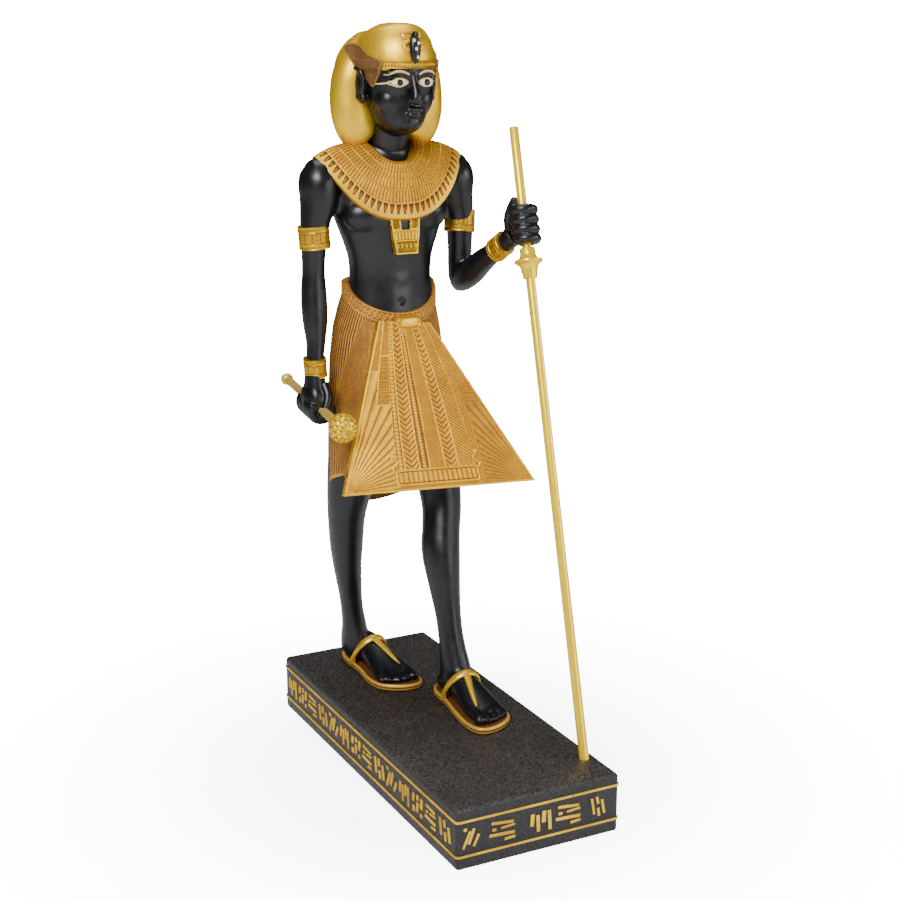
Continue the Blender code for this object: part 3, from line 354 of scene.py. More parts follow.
class Web:
    """A node tree that is being wired."""

    def __init__(self, tree: Tree) -> None:
        """Keep the tree that the nodes go into."""
        self.tree = tree

    def add(self, kind: str, settings: Optional[dict] = None, **inputs: object) -> bpy.types.Node:
        """Add a node.

        Args:
            kind: the node's type name.
            settings: its own properties.
            inputs: sockets or values by input name, with _ for a space; i0, i1 name one by number.

        Returns:
            The node.
        """
        node = self.tree.nodes.new(kind)
        for name, value in (settings or {}).items():
            setattr(node, name, value)
        self.feed(node, **inputs)
        return node

    def feed(self, node: bpy.types.Node, **inputs: object) -> None:
        """Link or set a node's inputs, named as for add."""
        for name, value in inputs.items():
            numbered = name[0] == "i" and name[1:].isdigit()
            socket = node.inputs[int(name[1:]) if numbered else name.replace("_", " ")]
            if isinstance(value, Socket):
                self.tree.links.new(value, socket)
            else:
                socket.default_value = value

    def paint(self, **inputs: object) -> None:
        """Link or set the inputs of a material's shader."""
        self.feed(self.tree.nodes["Principled BSDF"], **inputs)

    def group(self, tree: Tree, **inputs: object) -> bpy.types.NodeOutputs:
        """Add a node group and give its outputs."""
        return self.add("ShaderNodeGroup", {"node_tree": tree}, **inputs).outputs

    def bump(self, height: object, strength: float, distance: float) -> Socket:
        """A normal that follows a height."""
        node = self.add("ShaderNodeBump", None, Strength=strength, Distance=distance, Height=height)
        return node.outputs[0]

    def math(self, operation: str, first: object, second: object = 0.0) -> Socket:
        """The result of a sum on two values."""
        return self.add("ShaderNodeMath", {"operation": operation}, i0=first, i1=second).outputs[0]

    def mix(self, share: object, first: object, second: object, blend: str = "MIX") -> Socket:
        """A mix of two colours."""
        return self.add("ShaderNodeMix", {"data_type": "RGBA", "blend_type": blend}, i0=share, i6=first,
                        i7=second).outputs[2]

    def span(self, value: object, low: float, high: float, to_low: float = 0.0,
             to_high: float = 1.0) -> Socket:
        """A value moved from one range to another and kept in it."""
        node = self.add("ShaderNodeMapRange", {"clamp": True}, Value=value, From_Min=low, From_Max=high,
                        To_Min=to_low, To_Max=to_high)
        return node.outputs[0]

    def noise(self, vector: object, scale: object, detail: float = 3.0,
              roughness: float = 0.55) -> Socket:
        """A cloud of noise."""
        return self.add("ShaderNodeTexNoise", None, Vector=vector, Scale=scale, Detail=detail,
                        Roughness=roughness).outputs["Fac"]


RUBBED_GOLD = (1.0, 0.70, 0.06, 1.0)
GOLD_SHEEN = (1.0, 0.72, 0.26, 1.0)
PLAIN_WHITE = (1.0, 1.0, 1.0, 1.0)


def new_group(name: str, takes: dict[str, str], gives: dict[str, str]) -> tuple[Tree, Web]:
    """Start a shader node group with named sockets.

    Args:
        name: the group's name.
        takes: input names and their socket types.
        gives: output names and their socket types.

    Returns:
        The group and the web to wire it with.
    """
    group = bpy.data.node_groups.new(name, "ShaderNodeTree")
    for way, sockets in (("INPUT", takes), ("OUTPUT", gives)):
        for label, kind in sockets.items():
            group.interface.new_socket(name=label, in_out=way, socket_type="NodeSocket" + kind)
    return group, Web(group)


def make_gilding_group() -> Tree:
    """Gold paint over a brown ground: bright on the ridges, brown in the recesses, blotched and specked.

    Returns:
        The group. It takes coordinates, three colours, the relief and how blotched and specked the paint is,
        and gives colour, roughness and height.
    """
    group, web = new_group(
        "gilding", {"Vector": "Vector", "Gold": "Color", "Shade": "Color", "Recess": "Color",
                    "Relief": "Float", "Blotch": "Float", "Specks": "Float"},
        {"Color": "Color", "Roughness": "Float", "Height": "Float"})
    given = web.add("NodeGroupInput").outputs
    cloud = web.noise(given["Vector"], 95.0, 4.0, 0.6)
    fine = web.noise(given["Vector"], 900.0, 3.0, 0.6)
    brushed = web.noise(web.add("ShaderNodeVectorMath", {"operation": "MULTIPLY"}, i0=given["Vector"],
                                i1=(1.0, 1.0, 0.16)).outputs[0], 1500.0, 2.0, 0.5)
    patch = web.math("MULTIPLY", web.span(cloud, 0.38, 0.66), given["Blotch"])
    body = web.mix(patch, given["Gold"], given["Shade"])
    rubbed_and_lit = web.math("ADD", given["Relief"], web.math("MULTIPLY", web.math("SUBTRACT", fine, 0.5), 0.5))
    shown = web.span(rubbed_and_lit, 0.10, 0.88)
    colour = web.mix(shown, given["Recess"], body)
    bright = web.span(rubbed_and_lit, 0.68, 1.08, 0.0, 0.35)
    colour = web.mix(bright, colour, RUBBED_GOLD, "SCREEN")
    speck = web.math("MULTIPLY", web.span(fine, 0.66, 0.72), given["Specks"])
    colour = web.mix(speck, colour, given["Recess"])
    rough = web.math("ADD", web.span(shown, 0.0, 1.0, 0.6, 0.36), web.math("MULTIPLY", brushed, 0.12))
    high = web.math("ADD", web.math("MULTIPLY", fine, 0.6), web.math("MULTIPLY", brushed, 0.4))
    web.add("NodeGroupOutput", None, Color=colour, Roughness=rough, Height=high)
    return group


def make_grain_group() -> Tree:
    """Cast grain: fine pebbles over slow waves, for the plinth and the skin.

    Returns:
        The group. It takes coordinates and a scale, and gives a mask of the pebbles and a height.
    """
    group, web = new_group("cast_grain", {"Vector": "Vector", "Scale": "Float"},
                           {"Mask": "Float", "Height": "Float"})
    given = web.add("NodeGroupInput").outputs
    cells = web.add("ShaderNodeTexVoronoi", {"feature": "SMOOTH_F1"}, Vector=given["Vector"],
                    Scale=given["Scale"], Smoothness=0.6).outputs["Distance"]
    cloud = web.noise(given["Vector"], given["Scale"], 4.0, 0.65)
    mask = web.math("ADD", web.math("MULTIPLY", web.math("SUBTRACT", 1.0, cells), 0.5),
                    web.math("MULTIPLY", cloud, 0.6))
    web.add("NodeGroupOutput", None, Mask=mask, Height=web.math("ADD", mask, cloud))
    return group


def cover(colour: Colour) -> Row:
    """A colour with full cover."""
    return (*colour, 1.0)


def new_material(name: str) -> tuple[Material, Web, Socket]:
    """Start a material, and give it, the web to wire it with and its Object coordinates."""
    material = bpy.data.materials.new(name)
    material.use_nodes = True
    web = Web(material.node_tree)
    return material, web, web.add("ShaderNodeTexCoord").outputs["Object"]


@dataclass(frozen=True)
class Gilt:
    """Gold paint with antique shading.

    Fields hold the paint's colours on the ridges, in its patches and in the recesses, then how metallic,
    blotched, specked, rough and deep it is. A finish without carving has one relief for the whole piece.
    """

    name: str
    gold: Colour
    shade: Colour
    recess: Colour
    metallic: float
    blotch: float
    specks: float
    rough: float
    bump: float
    whole_relief: Optional[float] = None
    bump_depth: float = 0.2 * MM

    def make(self, gilding: Tree) -> Material:
        """Wire the material from the gilding group."""
        material, web, place = new_material(self.name)
        relief: object = self.whole_relief
        if relief is None:
            relief = web.add("ShaderNodeAttribute", {"attribute_name": "relief"}).outputs["Fac"]
        gild = web.group(gilding, Vector=place, Gold=cover(self.gold), Shade=cover(self.shade),
                         Recess=cover(self.recess), Relief=relief, Blotch=self.blotch, Specks=self.specks)
        web.paint(Base_Color=gild["Color"], Roughness=web.math("MULTIPLY", gild["Roughness"], self.rough),
                  Normal=web.bump(gild["Height"], self.bump, self.bump_depth), Metallic=self.metallic,
                  Specular_Tint=GOLD_SHEEN)
        return material


@dataclass(frozen=True)
class BlackGloss:
    """Near-black satin gloss paint over the cast skin."""

    name: str
    colour: Colour = (0.0018, 0.0021, 0.0034)
    dust: Colour = (0.0050, 0.0054, 0.0072)
    grain_scale: float = 420.0
    roughness: Row = (0.31, 0.40)
    bump: float = 0.10
    bump_depth: float = 0.2 * MM
    shine: float = 0.42
    coat: float = 0.05
    coat_roughness: float = 0.16

    def make(self, grain: Tree) -> Material:
        """Wire the material from the cast grain group."""
        material, web, place = new_material(self.name)
        cast = web.group(grain, Vector=place, Scale=self.grain_scale)
        dusty = web.span(web.noise(place, 60.0, 5.0, 0.6), 0.4, 0.75, 0.0, 0.8)
        web.paint(Base_Color=web.mix(dusty, cover(self.colour), cover(self.dust)),
                  Roughness=web.span(web.noise(place, 260.0), 0.3, 0.7, *self.roughness),
                  Normal=web.bump(cast["Height"], self.bump, self.bump_depth),
                  Specular_IOR_Level=self.shine, Coat_Weight=self.coat, Coat_Roughness=self.coat_roughness)
        return material


@dataclass(frozen=True)
class PlinthPaint:
    """Charcoal paint with a fine pebbled grain, paler on the top as a painted sheen of the light from above.
    """

    name: str
    low: Colour = (0.004, 0.004, 0.005)
    high: Colour = (0.020, 0.020, 0.022)
    # The top's paler colour is painted light: a sheen from above that the sides do not get.
    top: Colour = (0.120, 0.104, 0.090)
    grain_scale: float = 1150.0
    roughness: Row = (0.50, 0.24)
    bump: float = 0.8
    bump_depth: float = 0.5 * MM

    def make(self, grain: Tree) -> Material:
        """Wire the material from the cast grain group."""
        material, web, place = new_material(self.name)
        cast = web.group(grain, Vector=place, Scale=self.grain_scale)
        normal = web.add("ShaderNodeNewGeometry").outputs["Normal"]
        up = web.add("ShaderNodeSeparateXYZ", None, Vector=normal).outputs[2]
        # Painted light: faces that look up take the paler top colour as a painted sheen, the sides keep the
        # darker one.
        rubbed_and_lit = web.mix(web.span(up, 0.3, 0.95), cover(self.high), cover(self.top))
        worn = web.span(web.noise(place, 45.0, 4.0), 0.3, 0.7, 0.55, 1.0)
        share = web.math("MULTIPLY", web.span(cast["Mask"], 0.45, 0.85), worn)
        web.paint(Base_Color=web.mix(share, cover(self.low), rubbed_and_lit),
                  Roughness=web.span(cast["Mask"], 0.4, 0.9, *self.roughness),
                  Normal=web.bump(cast["Height"], self.bump, self.bump_depth))
        return material


@dataclass(frozen=True)
class HandPaint:
    """Gloss paint of one colour with a faint hand-painted unevenness."""

    name: str
    colour: Colour
    other: Colour
    roughness: float = 0.3
    bump: float = 0.1
    bump_depth: float = 0.1 * MM

    def make(self) -> Material:
        """Wire the material."""
        material, web, place = new_material(self.name)
        cloud = web.noise(place, 700.0)
        web.paint(Base_Color=web.mix(web.span(cloud, 0.35, 0.65), cover(self.colour), cover(self.other)),
                  Normal=web.bump(cloud, self.bump, self.bump_depth), Roughness=self.roughness)
        return material


@dataclass
class Finishes:
    """Every material, made once."""

    skin: Material
    plinth: Material
    khat: Material
    shadow_gold: Material
    dress: Material
    kilt: Material
    trim: Material
    bands: Material
    plain_trim: Material
    apron: Material
    staff: Material
    mace: Material
    shaft: Material
    line: Material
    eye_white: Material
    eye_line: Material
    brow_line: Material
    hood_glint: Material


GILTS = {
    "khat": Gilt("headcloth_gold", (0.86, 0.455, 0.002), (0.54, 0.250, 0.004), (0.10, 0.035, 0.006),
                 0.78, 0.7, 0.25, 1.05, 0.14, 1.0),
    # shadow_gold: painted shade, the dark bronze of the temple tabs
    "shadow_gold": Gilt("painted_shadow_bronze", (0.215, 0.104, 0.038), (0.150, 0.066, 0.026), (0.05, 0.020, 0.008),
                        0.3, 0.8, 0.3, 1.3, 0.3),
    "dress": Gilt("collar_gold", (0.80, 0.390, 0.010), (0.48, 0.190, 0.014), (0.115, 0.040, 0.018),
                  0.6, 0.7, 0.5, 1.05, 0.3),
    "kilt": Gilt("kilt_bronze", (0.68, 0.310, 0.045), (0.34, 0.130, 0.036), (0.078, 0.024, 0.018),
                 0.45, 0.5, 0.4, 1.15, 0.3),
    "trim": Gilt("bright_trim", (0.96, 0.56, 0.020), (0.62, 0.30, 0.012), (0.12, 0.038, 0.008),
                 0.7, 0.5, 0.35, 0.8, 0.2),
    "bands": Gilt("band_gold", (0.78, 0.44, 0.016), (0.48, 0.22, 0.010), (0.075, 0.024, 0.006),
                  0.75, 0.6, 0.4, 0.8, 0.2),
    "plain_trim": Gilt("strap_gold", (0.82, 0.43, 0.030), (0.52, 0.22, 0.018), (0.12, 0.04, 0.010),
                       0.7, 0.6, 0.5, 0.85, 0.2, 1.0),
    "apron": Gilt("apron_gold", (0.94, 0.470, 0.006), (0.62, 0.250, 0.014), (0.150, 0.054, 0.026),
                  0.6, 0.7, 0.5, 1.05, 0.3),
    "staff": Gilt("staff_gold", (1.0, 0.62, 0.004), (0.80, 0.43, 0.006), (0.2, 0.08, 0.01),
                  0.45, 0.6, 0.2, 0.62, 0.15, 1.0),
    "mace": Gilt("mace_gold", (0.96, 0.58, 0.012), (0.62, 0.31, 0.010), (0.10, 0.034, 0.007),
                 0.55, 0.6, 0.5, 0.8, 0.2),
    "shaft": Gilt("shaft_brass", (0.62, 0.42, 0.110), (0.36, 0.20, 0.045), (0.06, 0.03, 0.01),
                  0.55, 0.9, 0.6, 0.95, 0.2, 0.9),
    "line": Gilt("line_gold", (0.88, 0.53, 0.040), (0.46, 0.22, 0.022), (0.04, 0.016, 0.006),
                 0.6, 0.9, 0.8, 1.0, 0.3, 0.85),
}
PAINTS = {
    "eye_white": HandPaint("eye_white", (0.86, 0.82, 0.74), (0.78, 0.72, 0.62)),
    "eye_line": HandPaint("eye_line", (0.82, 0.58, 0.26), (0.66, 0.40, 0.14)),
    "brow_line": HandPaint("brow_line", (0.74, 0.52, 0.28), (0.5, 0.32, 0.14)),
    # Painted highlight: near-white paint for the glints on the serpent's hood.
    "hood_glint": HandPaint("hood_glint_paint", (0.92, 0.90, 0.84), (0.80, 0.74, 0.60), 0.2),
}


def make_finishes() -> Finishes:
    """Mix every finish, the gold and the cast ones from the two shared groups."""
    gilding, grain = make_gilding_group(), make_grain_group()
    made = {"skin": BlackGloss("black_gloss").make(grain),
            "plinth": PlinthPaint("plinth_charcoal").make(grain)}
    made.update((name, gilt.make(gilding)) for name, gilt in GILTS.items())
    made.update((name, paint.make()) for name, paint in PAINTS.items())
    return Finishes(**made)


# Relief: how far a pattern stands up, drawn over rings or a plate


def ridge(place: np.ndarray, middle: object, half: float, soft: float) -> np.ndarray:
    """A raised line: 1 within half of the middle, falling off over soft."""
    return np.clip((half - np.abs(place - middle)) / soft + 0.5, 0.0, 1.0)


def tubes(place: np.ndarray, gap: float) -> np.ndarray:
    """Round tubes side by side, one for each whole number, with a gap between them."""
    return np.clip((0.5 - np.abs(place % 1.0 - 0.5)) / gap, 0.0, 1.0) ** 0.7


def zigzag(place: np.ndarray) -> np.ndarray:
    """A line that runs up and down between 0 and 1, once for each whole number."""
    return np.abs(place % 1.0 - 0.5) * 2.0


def lift_rings(rings: np.ndarray, height: np.ndarray) -> np.ndarray:
    """Move each point of closed rings outwards along the surface they span.

    Args:
        rings: an array of rings by points by 3.
        height: how far each point moves, in the drawing's millimetres.

    Returns:
        The moved rings.
    """
    around = np.roll(rings, -1, axis=1) - np.roll(rings, 1, axis=1)
    along = np.gradient(rings, axis=0)
    out = np.cross(around, along)
    out /= np.maximum(np.linalg.norm(out, axis=2, keepdims=True), 1e-9)
    middle = rings.mean(axis=1, keepdims=True)
    if (out * (rings - middle)).sum() < 0.0:
        out = -out
    return rings + out * height[..., None]


def ring_lengths(rings: np.ndarray) -> tuple[np.ndarray, np.ndarray]:
    """How far each point lies round its ring, as a share, and the length of each ring."""
    steps = np.linalg.norm(np.roll(rings, -1, axis=1) - rings, axis=2)
    total = steps.sum(axis=1)
    start = np.cumsum(steps, axis=1) - steps
    return start / total[:, None], total


def plate(face: Callable[[float, float], Vector], out: Vector, thickness: float, columns: int, rows: int,
          pattern: Callable[[np.ndarray, np.ndarray], tuple[np.ndarray, np.ndarray]]) -> Shape:
    """A plate with a pattern on its front and a plain closed back.

    Args:
        face: a point of the front from its shares across and down.
        out: the way the front looks.
        thickness: the plate's thickness in the drawing's millimetres.
        columns: how finely the front is divided across.
        rows: how finely it is divided down.
        pattern: from shares across and down, the lift in millimetres and the relief from 0 to 1.

    Returns:
        The closed bmesh.
    """
    bm = bmesh.new()
    relief = bm.verts.layers.float.new("relief")
    bmesh.ops.create_grid(bm, x_segments=columns, y_segments=rows, size=0.5)
    spots = np.array([vert.co[:2] for vert in bm.verts])
    across, down = spots[:, 0] + 0.5, 0.5 - spots[:, 1]
    lift, tone = pattern(across, down)
    for vert, u, v, high, value in zip(bm.verts, across, down, lift, tone):
        vert.co = face(u, v) + out * high
        vert[relief] = value
    fresh, edges = grow(bm, [edge for edge in bm.edges if edge.is_boundary])
    bmesh.ops.translate(bm, verts=fresh, vec=out * -thickness)
    close(bm, edges)
    return put(bm, FIGURE)


class Surface:
    """The outside of finished pieces, to lay paint and trim on.

    A point is sought straight back from before the whole figure, and failing that nearest to a place level
    with the face.
    """

    before: float = -90.0
    face: float = -20.0

    def __init__(self, *pieces: Piece) -> None:
        """Keep the pieces' faces for finding points on them."""
        bm = bmesh.new()
        for piece in pieces:
            bm.from_mesh(piece.data)
        self.tree = BVHTree.FromBMesh(bm)
        bm.free()
        self.back = FIGURE.inverted()

    def front(self, across: float, up: float, lift: float) -> Vector:
        """The point seen from the front at a place across and up, lifted off the surface."""
        start = FIGURE @ Vector((across, self.before, up))
        spot, normal, _, _ = self.tree.ray_cast(start, BACKWARD)
        if spot is None:
            spot, normal, _, _ = self.tree.find_nearest(FIGURE @ Vector((across, self.face, up)))
        return self.back @ (spot + normal * lift * MM)

    def stands_out(self, point: Vector, out: Vector, reach: float) -> float:
        """How far the surface lies beyond a place in a direction, 0 where it lies within.

        Args:
            point: the place.
            out: the direction.
            reach: how far out the search starts.

        Returns:
            The distance in the drawing's millimetres.
        """
        way = (FIGURE.to_3x3() @ -out).normalized()
        spot, _, _, _ = self.tree.ray_cast(FIGURE @ (point + out * reach), way)
        return 0.0 if spot is None else max(0.0, (self.back @ spot - point).dot(out))


# The casting


@dataclass
class Skin:
    """Trunk, arms, legs and feet, cast as one and painted gloss black."""

    voxel: float = 0.85
    passes: int = 7
    trunk: Rows = (
        (0.0, 0.0, 118.0, 22.0, 14.0), (0.0, 1.0, 140.0, 23.5, 15.0), (0.0, 1.2, 158.0, 22.6, 14.8),
        (0.0, 0.8, 168.0, 20.8, 14.0), (0.0, 0.2, 176.0, 18.8, 12.9), (0.0, 0.0, 183.0, 18.2, 12.4),
        (0.0, -0.2, 190.0, 18.8, 12.8), (0.0, -0.2, 198.0, 21.4, 13.8), (0.0, 0.2, 206.0, 24.4, 14.6),
        (0.0, 1.0, 213.0, 26.2, 14.4), (0.0, 1.6, 219.0, 26.2, 13.6), (0.0, 2.0, 225.0, 22.6, 12.0),
        (0.0, 2.2, 231.0, 14.0, 9.8), (0.0, 1.4, 236.0, 8.8, 8.4), (0.0, -1.0, 243.0, 7.9, 8.3),
        (0.0, -3.0, 252.0, 7.9, 8.8))
    yoke: Rows = (
        (-33.5, 1.4, 223.4, 7.6, 7.4), (-27.0, 1.6, 225.0, 7.8, 7.8), (-16.0, 1.8, 226.8, 8.2, 8.2),
        (0.0, 1.8, 227.6, 8.4, 8.8))
    right_arm: Rows = (
        (-28.6, 1.5, 227.6, 6.8, 7.0), (-30.4, 1.4, 222.4, 9.0, 9.2), (-31.2, 1.2, 215.0, 8.2, 8.8),
        (-32.9, 1.2, 207.5, 6.5, 7.4), (-33.8, 1.2, 200.0, 5.6, 6.3), (-34.2, 1.4, 191.0, 4.9, 5.6),
        (-34.3, 1.6, 184.0, 4.8, 5.3), (-34.4, 1.4, 177.0, 5.4, 5.5), (-34.5, 0.8, 170.0, 5.6, 5.6),
        (-34.6, 0.0, 163.0, 5.2, 5.2), (-34.9, -0.8, 156.0, 4.2, 4.5), (-35.6, -1.4, 148.5, 3.7, 4.3),
        (-36.0, -1.6, 141.0, 4.2, 5.2), (-36.0, -1.6, 134.0, 5.0, 6.6))
    left_upper_arm: Rows = (
        (28.6, 1.5, 227.6, 6.8, 7.0), (30.4, 1.4, 222.4, 9.0, 9.2), (31.2, 1.2, 215.0, 8.2, 8.8),
        (33.2, 1.4, 207.5, 6.4, 7.2), (34.2, 1.8, 200.0, 5.7, 6.3), (34.6, 2.4, 191.0, 5.2, 5.7),
        (34.8, 3.0, 182.0, 5.0, 5.4), (34.8, 3.0, 176.0, 4.6, 4.9))
    left_forearm: Rows = (
        (34.8, 4.0, 175.6, 4.4, 4.6), (34.9, -0.5, 177.2, 5.4, 5.2), (35.3, -7.5, 181.2, 5.8, 5.6),
        (36.2, -15.5, 186.8, 5.2, 5.1), (37.3, -23.5, 191.6, 4.2, 4.4), (38.4, -30.5, 196.0, 3.6, 4.2),
        (40.0, -36.5, 200.5, 4.0, 5.2))
    right_leg: Rows = (
        (-12.5, 1.0, 128.0, 11.5, 13.5), (-16.0, 3.0, 108.0, 11.2, 12.6), (-18.0, 5.6, 88.0, 9.6, 10.8),
        (-18.5, 7.8, 76.0, 8.3, 9.2), (-18.0, 9.6, 68.0, 7.7, 8.9), (-17.2, 11.6, 60.0, 7.2, 8.6),
        (-16.4, 13.0, 52.0, 6.4, 7.7), (-15.2, 14.4, 44.0, 5.8, 6.8), (-13.8, 16.0, 36.0, 5.2, 6.0),
        (-12.5, 17.2, 28.0, 5.0, 5.8), (-11.2, 18.2, 20.0, 5.4, 6.6), (-10.4, 19.0, 12.0, 6.2, 8.4),
        (-10.2, 19.6, 6.0, 5.8, 8.6))
    left_leg: Rows = (
        (13.5, -2.5, 128.0, 11.5, 13.5), (15.5, -9.6, 106.0, 10.4, 12.0), (15.8, -16.6, 84.0, 8.7, 9.6),
        (14.0, -20.2, 73.0, 8.2, 9.0), (12.8, -22.0, 66.0, 8.3, 9.4), (12.3, -23.8, 60.0, 8.0, 9.2),
        (12.1, -26.0, 53.0, 7.2, 8.4), (12.1, -28.2, 45.0, 6.3, 7.3), (12.1, -30.6, 37.0, 5.5, 6.4),
        (12.1, -32.8, 29.0, 5.3, 6.1), (12.3, -34.8, 21.0, 5.7, 6.8), (12.8, -36.2, 13.0, 6.4, 8.6),
        (12.8, -36.6, 6.0, 5.8, 8.6))
    masses: Rows = (
        (-11.0, -5.6, 208.0, 12.5, 8.4, 9.0), (0.0, -5.0, 181.0, 9.5, 7.8, 14.0),
        (-9.0, 9.0, 214.0, 10.0, 5.4, 12.0))
    dents: tuple[tuple[Row, float, float], ...] = (
        ((-0.5, -12.9, 171.9), 1.1, 1.3), ((0.0, -12.8, 178.0), 2.6, 0.3), ((0.0, -12.8, 184.0), 2.8, 0.3),
        ((0.0, -13.4, 190.0), 2.8, 0.3))

    def shapes(self) -> list[Shape]:
        """The overlapping forms of the body."""
        forms = [limb(self.trunk, sides=48)]
        forms.extend(limb(rows, hint=BACKWARD) for rows in (self.yoke, mirrored(self.yoke)))
        limbs = (self.right_arm, self.left_upper_arm, self.left_forearm, self.right_leg, self.left_leg)
        forms.extend(limb(rows) for rows in limbs)
        forms.extend(mass(row) for row in both_sides(self.masses))
        return forms

    def press(self, piece: Piece) -> None:
        """Press the navel and the soft middle groove into the skin."""
        points = np.empty(3 * len(piece.data.vertices))
        piece.data.vertices.foreach_get("co", points)
        points = points.reshape(-1, 3)
        for spot, radius, depth in self.dents:
            away = np.linalg.norm(points - np.array(FIGURE @ Vector(spot)), axis=1) / (radius * MM)
            points[:, 1] += depth * MM * np.exp(-away * away)
        piece.data.vertices.foreach_set("co", points.ravel())
        piece.data.update()

    def build(self, finishes: Finishes, feet: "Sandals") -> None:
        """Cast and paint the skin, which stands for the casting's node.

        Args:
            finishes: the scene's materials.
            feet: gives the feet's forms.
        """
        piece = fuse(self.shapes() + feet.feet(), "skin", self.voxel, self.passes)
        self.press(piece)
        dress(piece, finishes.skin, Crease.SOFT)
        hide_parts("figure")


@dataclass(frozen=True)
class Curl:
    """How fingers close round a rod: their side of it, reach and radius, and their first and last turn."""

    outward: tuple[float, float, float]
    reach: float
    radius: float
    first: float
    last: float


@dataclass
class Hands:
    """Both hands: the left one round the staff, the right one round the mace."""

    voxel: float = 0.4
    passes: int = 6
    offsets: Row = (-6.0, -2.0, 2.0, 6.0)
    finger_steps: int = 12
    tip_share: float = 0.62
    palms: Rows = (
        (42.4, -39.4, 202.8, 3.4, 6.0, 7.6), (40.2, -38.0, 206.0, 3.6, 3.6, 4.6),
        (-37.0, -1.5, 131.6, 4.8, 7.8, 8.2))
    thumbs: tuple[Rows, ...] = (
        ((37.2, -37.0, 203.0, 2.2, 2.2), (35.4, -39.6, 208.0, 2.1, 2.1), (35.6, -42.0, 213.0, 1.9, 1.9),
         (36.2, -43.2, 216.4, 1.3, 1.3)),
        ((-33.6, -5.6, 138.6, 2.3, 2.3), (-33.0, -8.6, 133.6, 2.2, 2.2), (-35.0, -9.8, 128.4, 1.9, 1.9),
         (-37.0, -9.4, 125.4, 1.3, 1.3)))
    left: Curl = Curl((1.0, 0.35, 0.0), 4.3, 2.1, 0.3, -4.0)
    right: Curl = Curl((-1.0, 0.0, 0.2), 4.5, 2.2, -0.4, 3.7)

    def finger(self, rod: "Rod", curl: Curl, start: Vector, offset: float) -> Shape:
        """A finger that follows an arc round a rod.

        Args:
            rod: what the hand holds.
            curl: how the hand closes.
            start: the way from the rod to the knuckle.
            offset: place along the rod.

        Returns:
            The finger.
        """
        side = rod.way.cross(start).normalized()
        rows = []
        for step in range(self.finger_steps + 1):
            turn = curl.first + (curl.last - curl.first) * step / self.finger_steps
            arm = start * math.cos(turn) + side * math.sin(turn)
            point = rod.grip + rod.way * offset + arm * curl.reach
            slim = curl.radius * (self.tip_share if step == self.finger_steps else 1.0)
            rows.append((*point, slim, slim))
        return limb(rows, sides=18, steps=2, hint=rod.way)

    def build(self, finishes: Finishes, staff: "Staff", mace: "Mace") -> None:
        """Cast and paint both hands round their rods."""
        shapes = [mass(row) for row in self.palms]
        shapes.extend(limb(rows, sides=18) for rows in self.thumbs)
        for rod, curl in ((staff.rod, self.left), (mace.rod, self.right)):
            outward = square_to(Vector(curl.outward), rod.way)
            shapes.extend(self.finger(rod, curl, outward, offset) for offset in self.offsets)
        dress(fuse(shapes, "hands", self.voxel, self.passes), finishes.skin, Crease.SOFT)


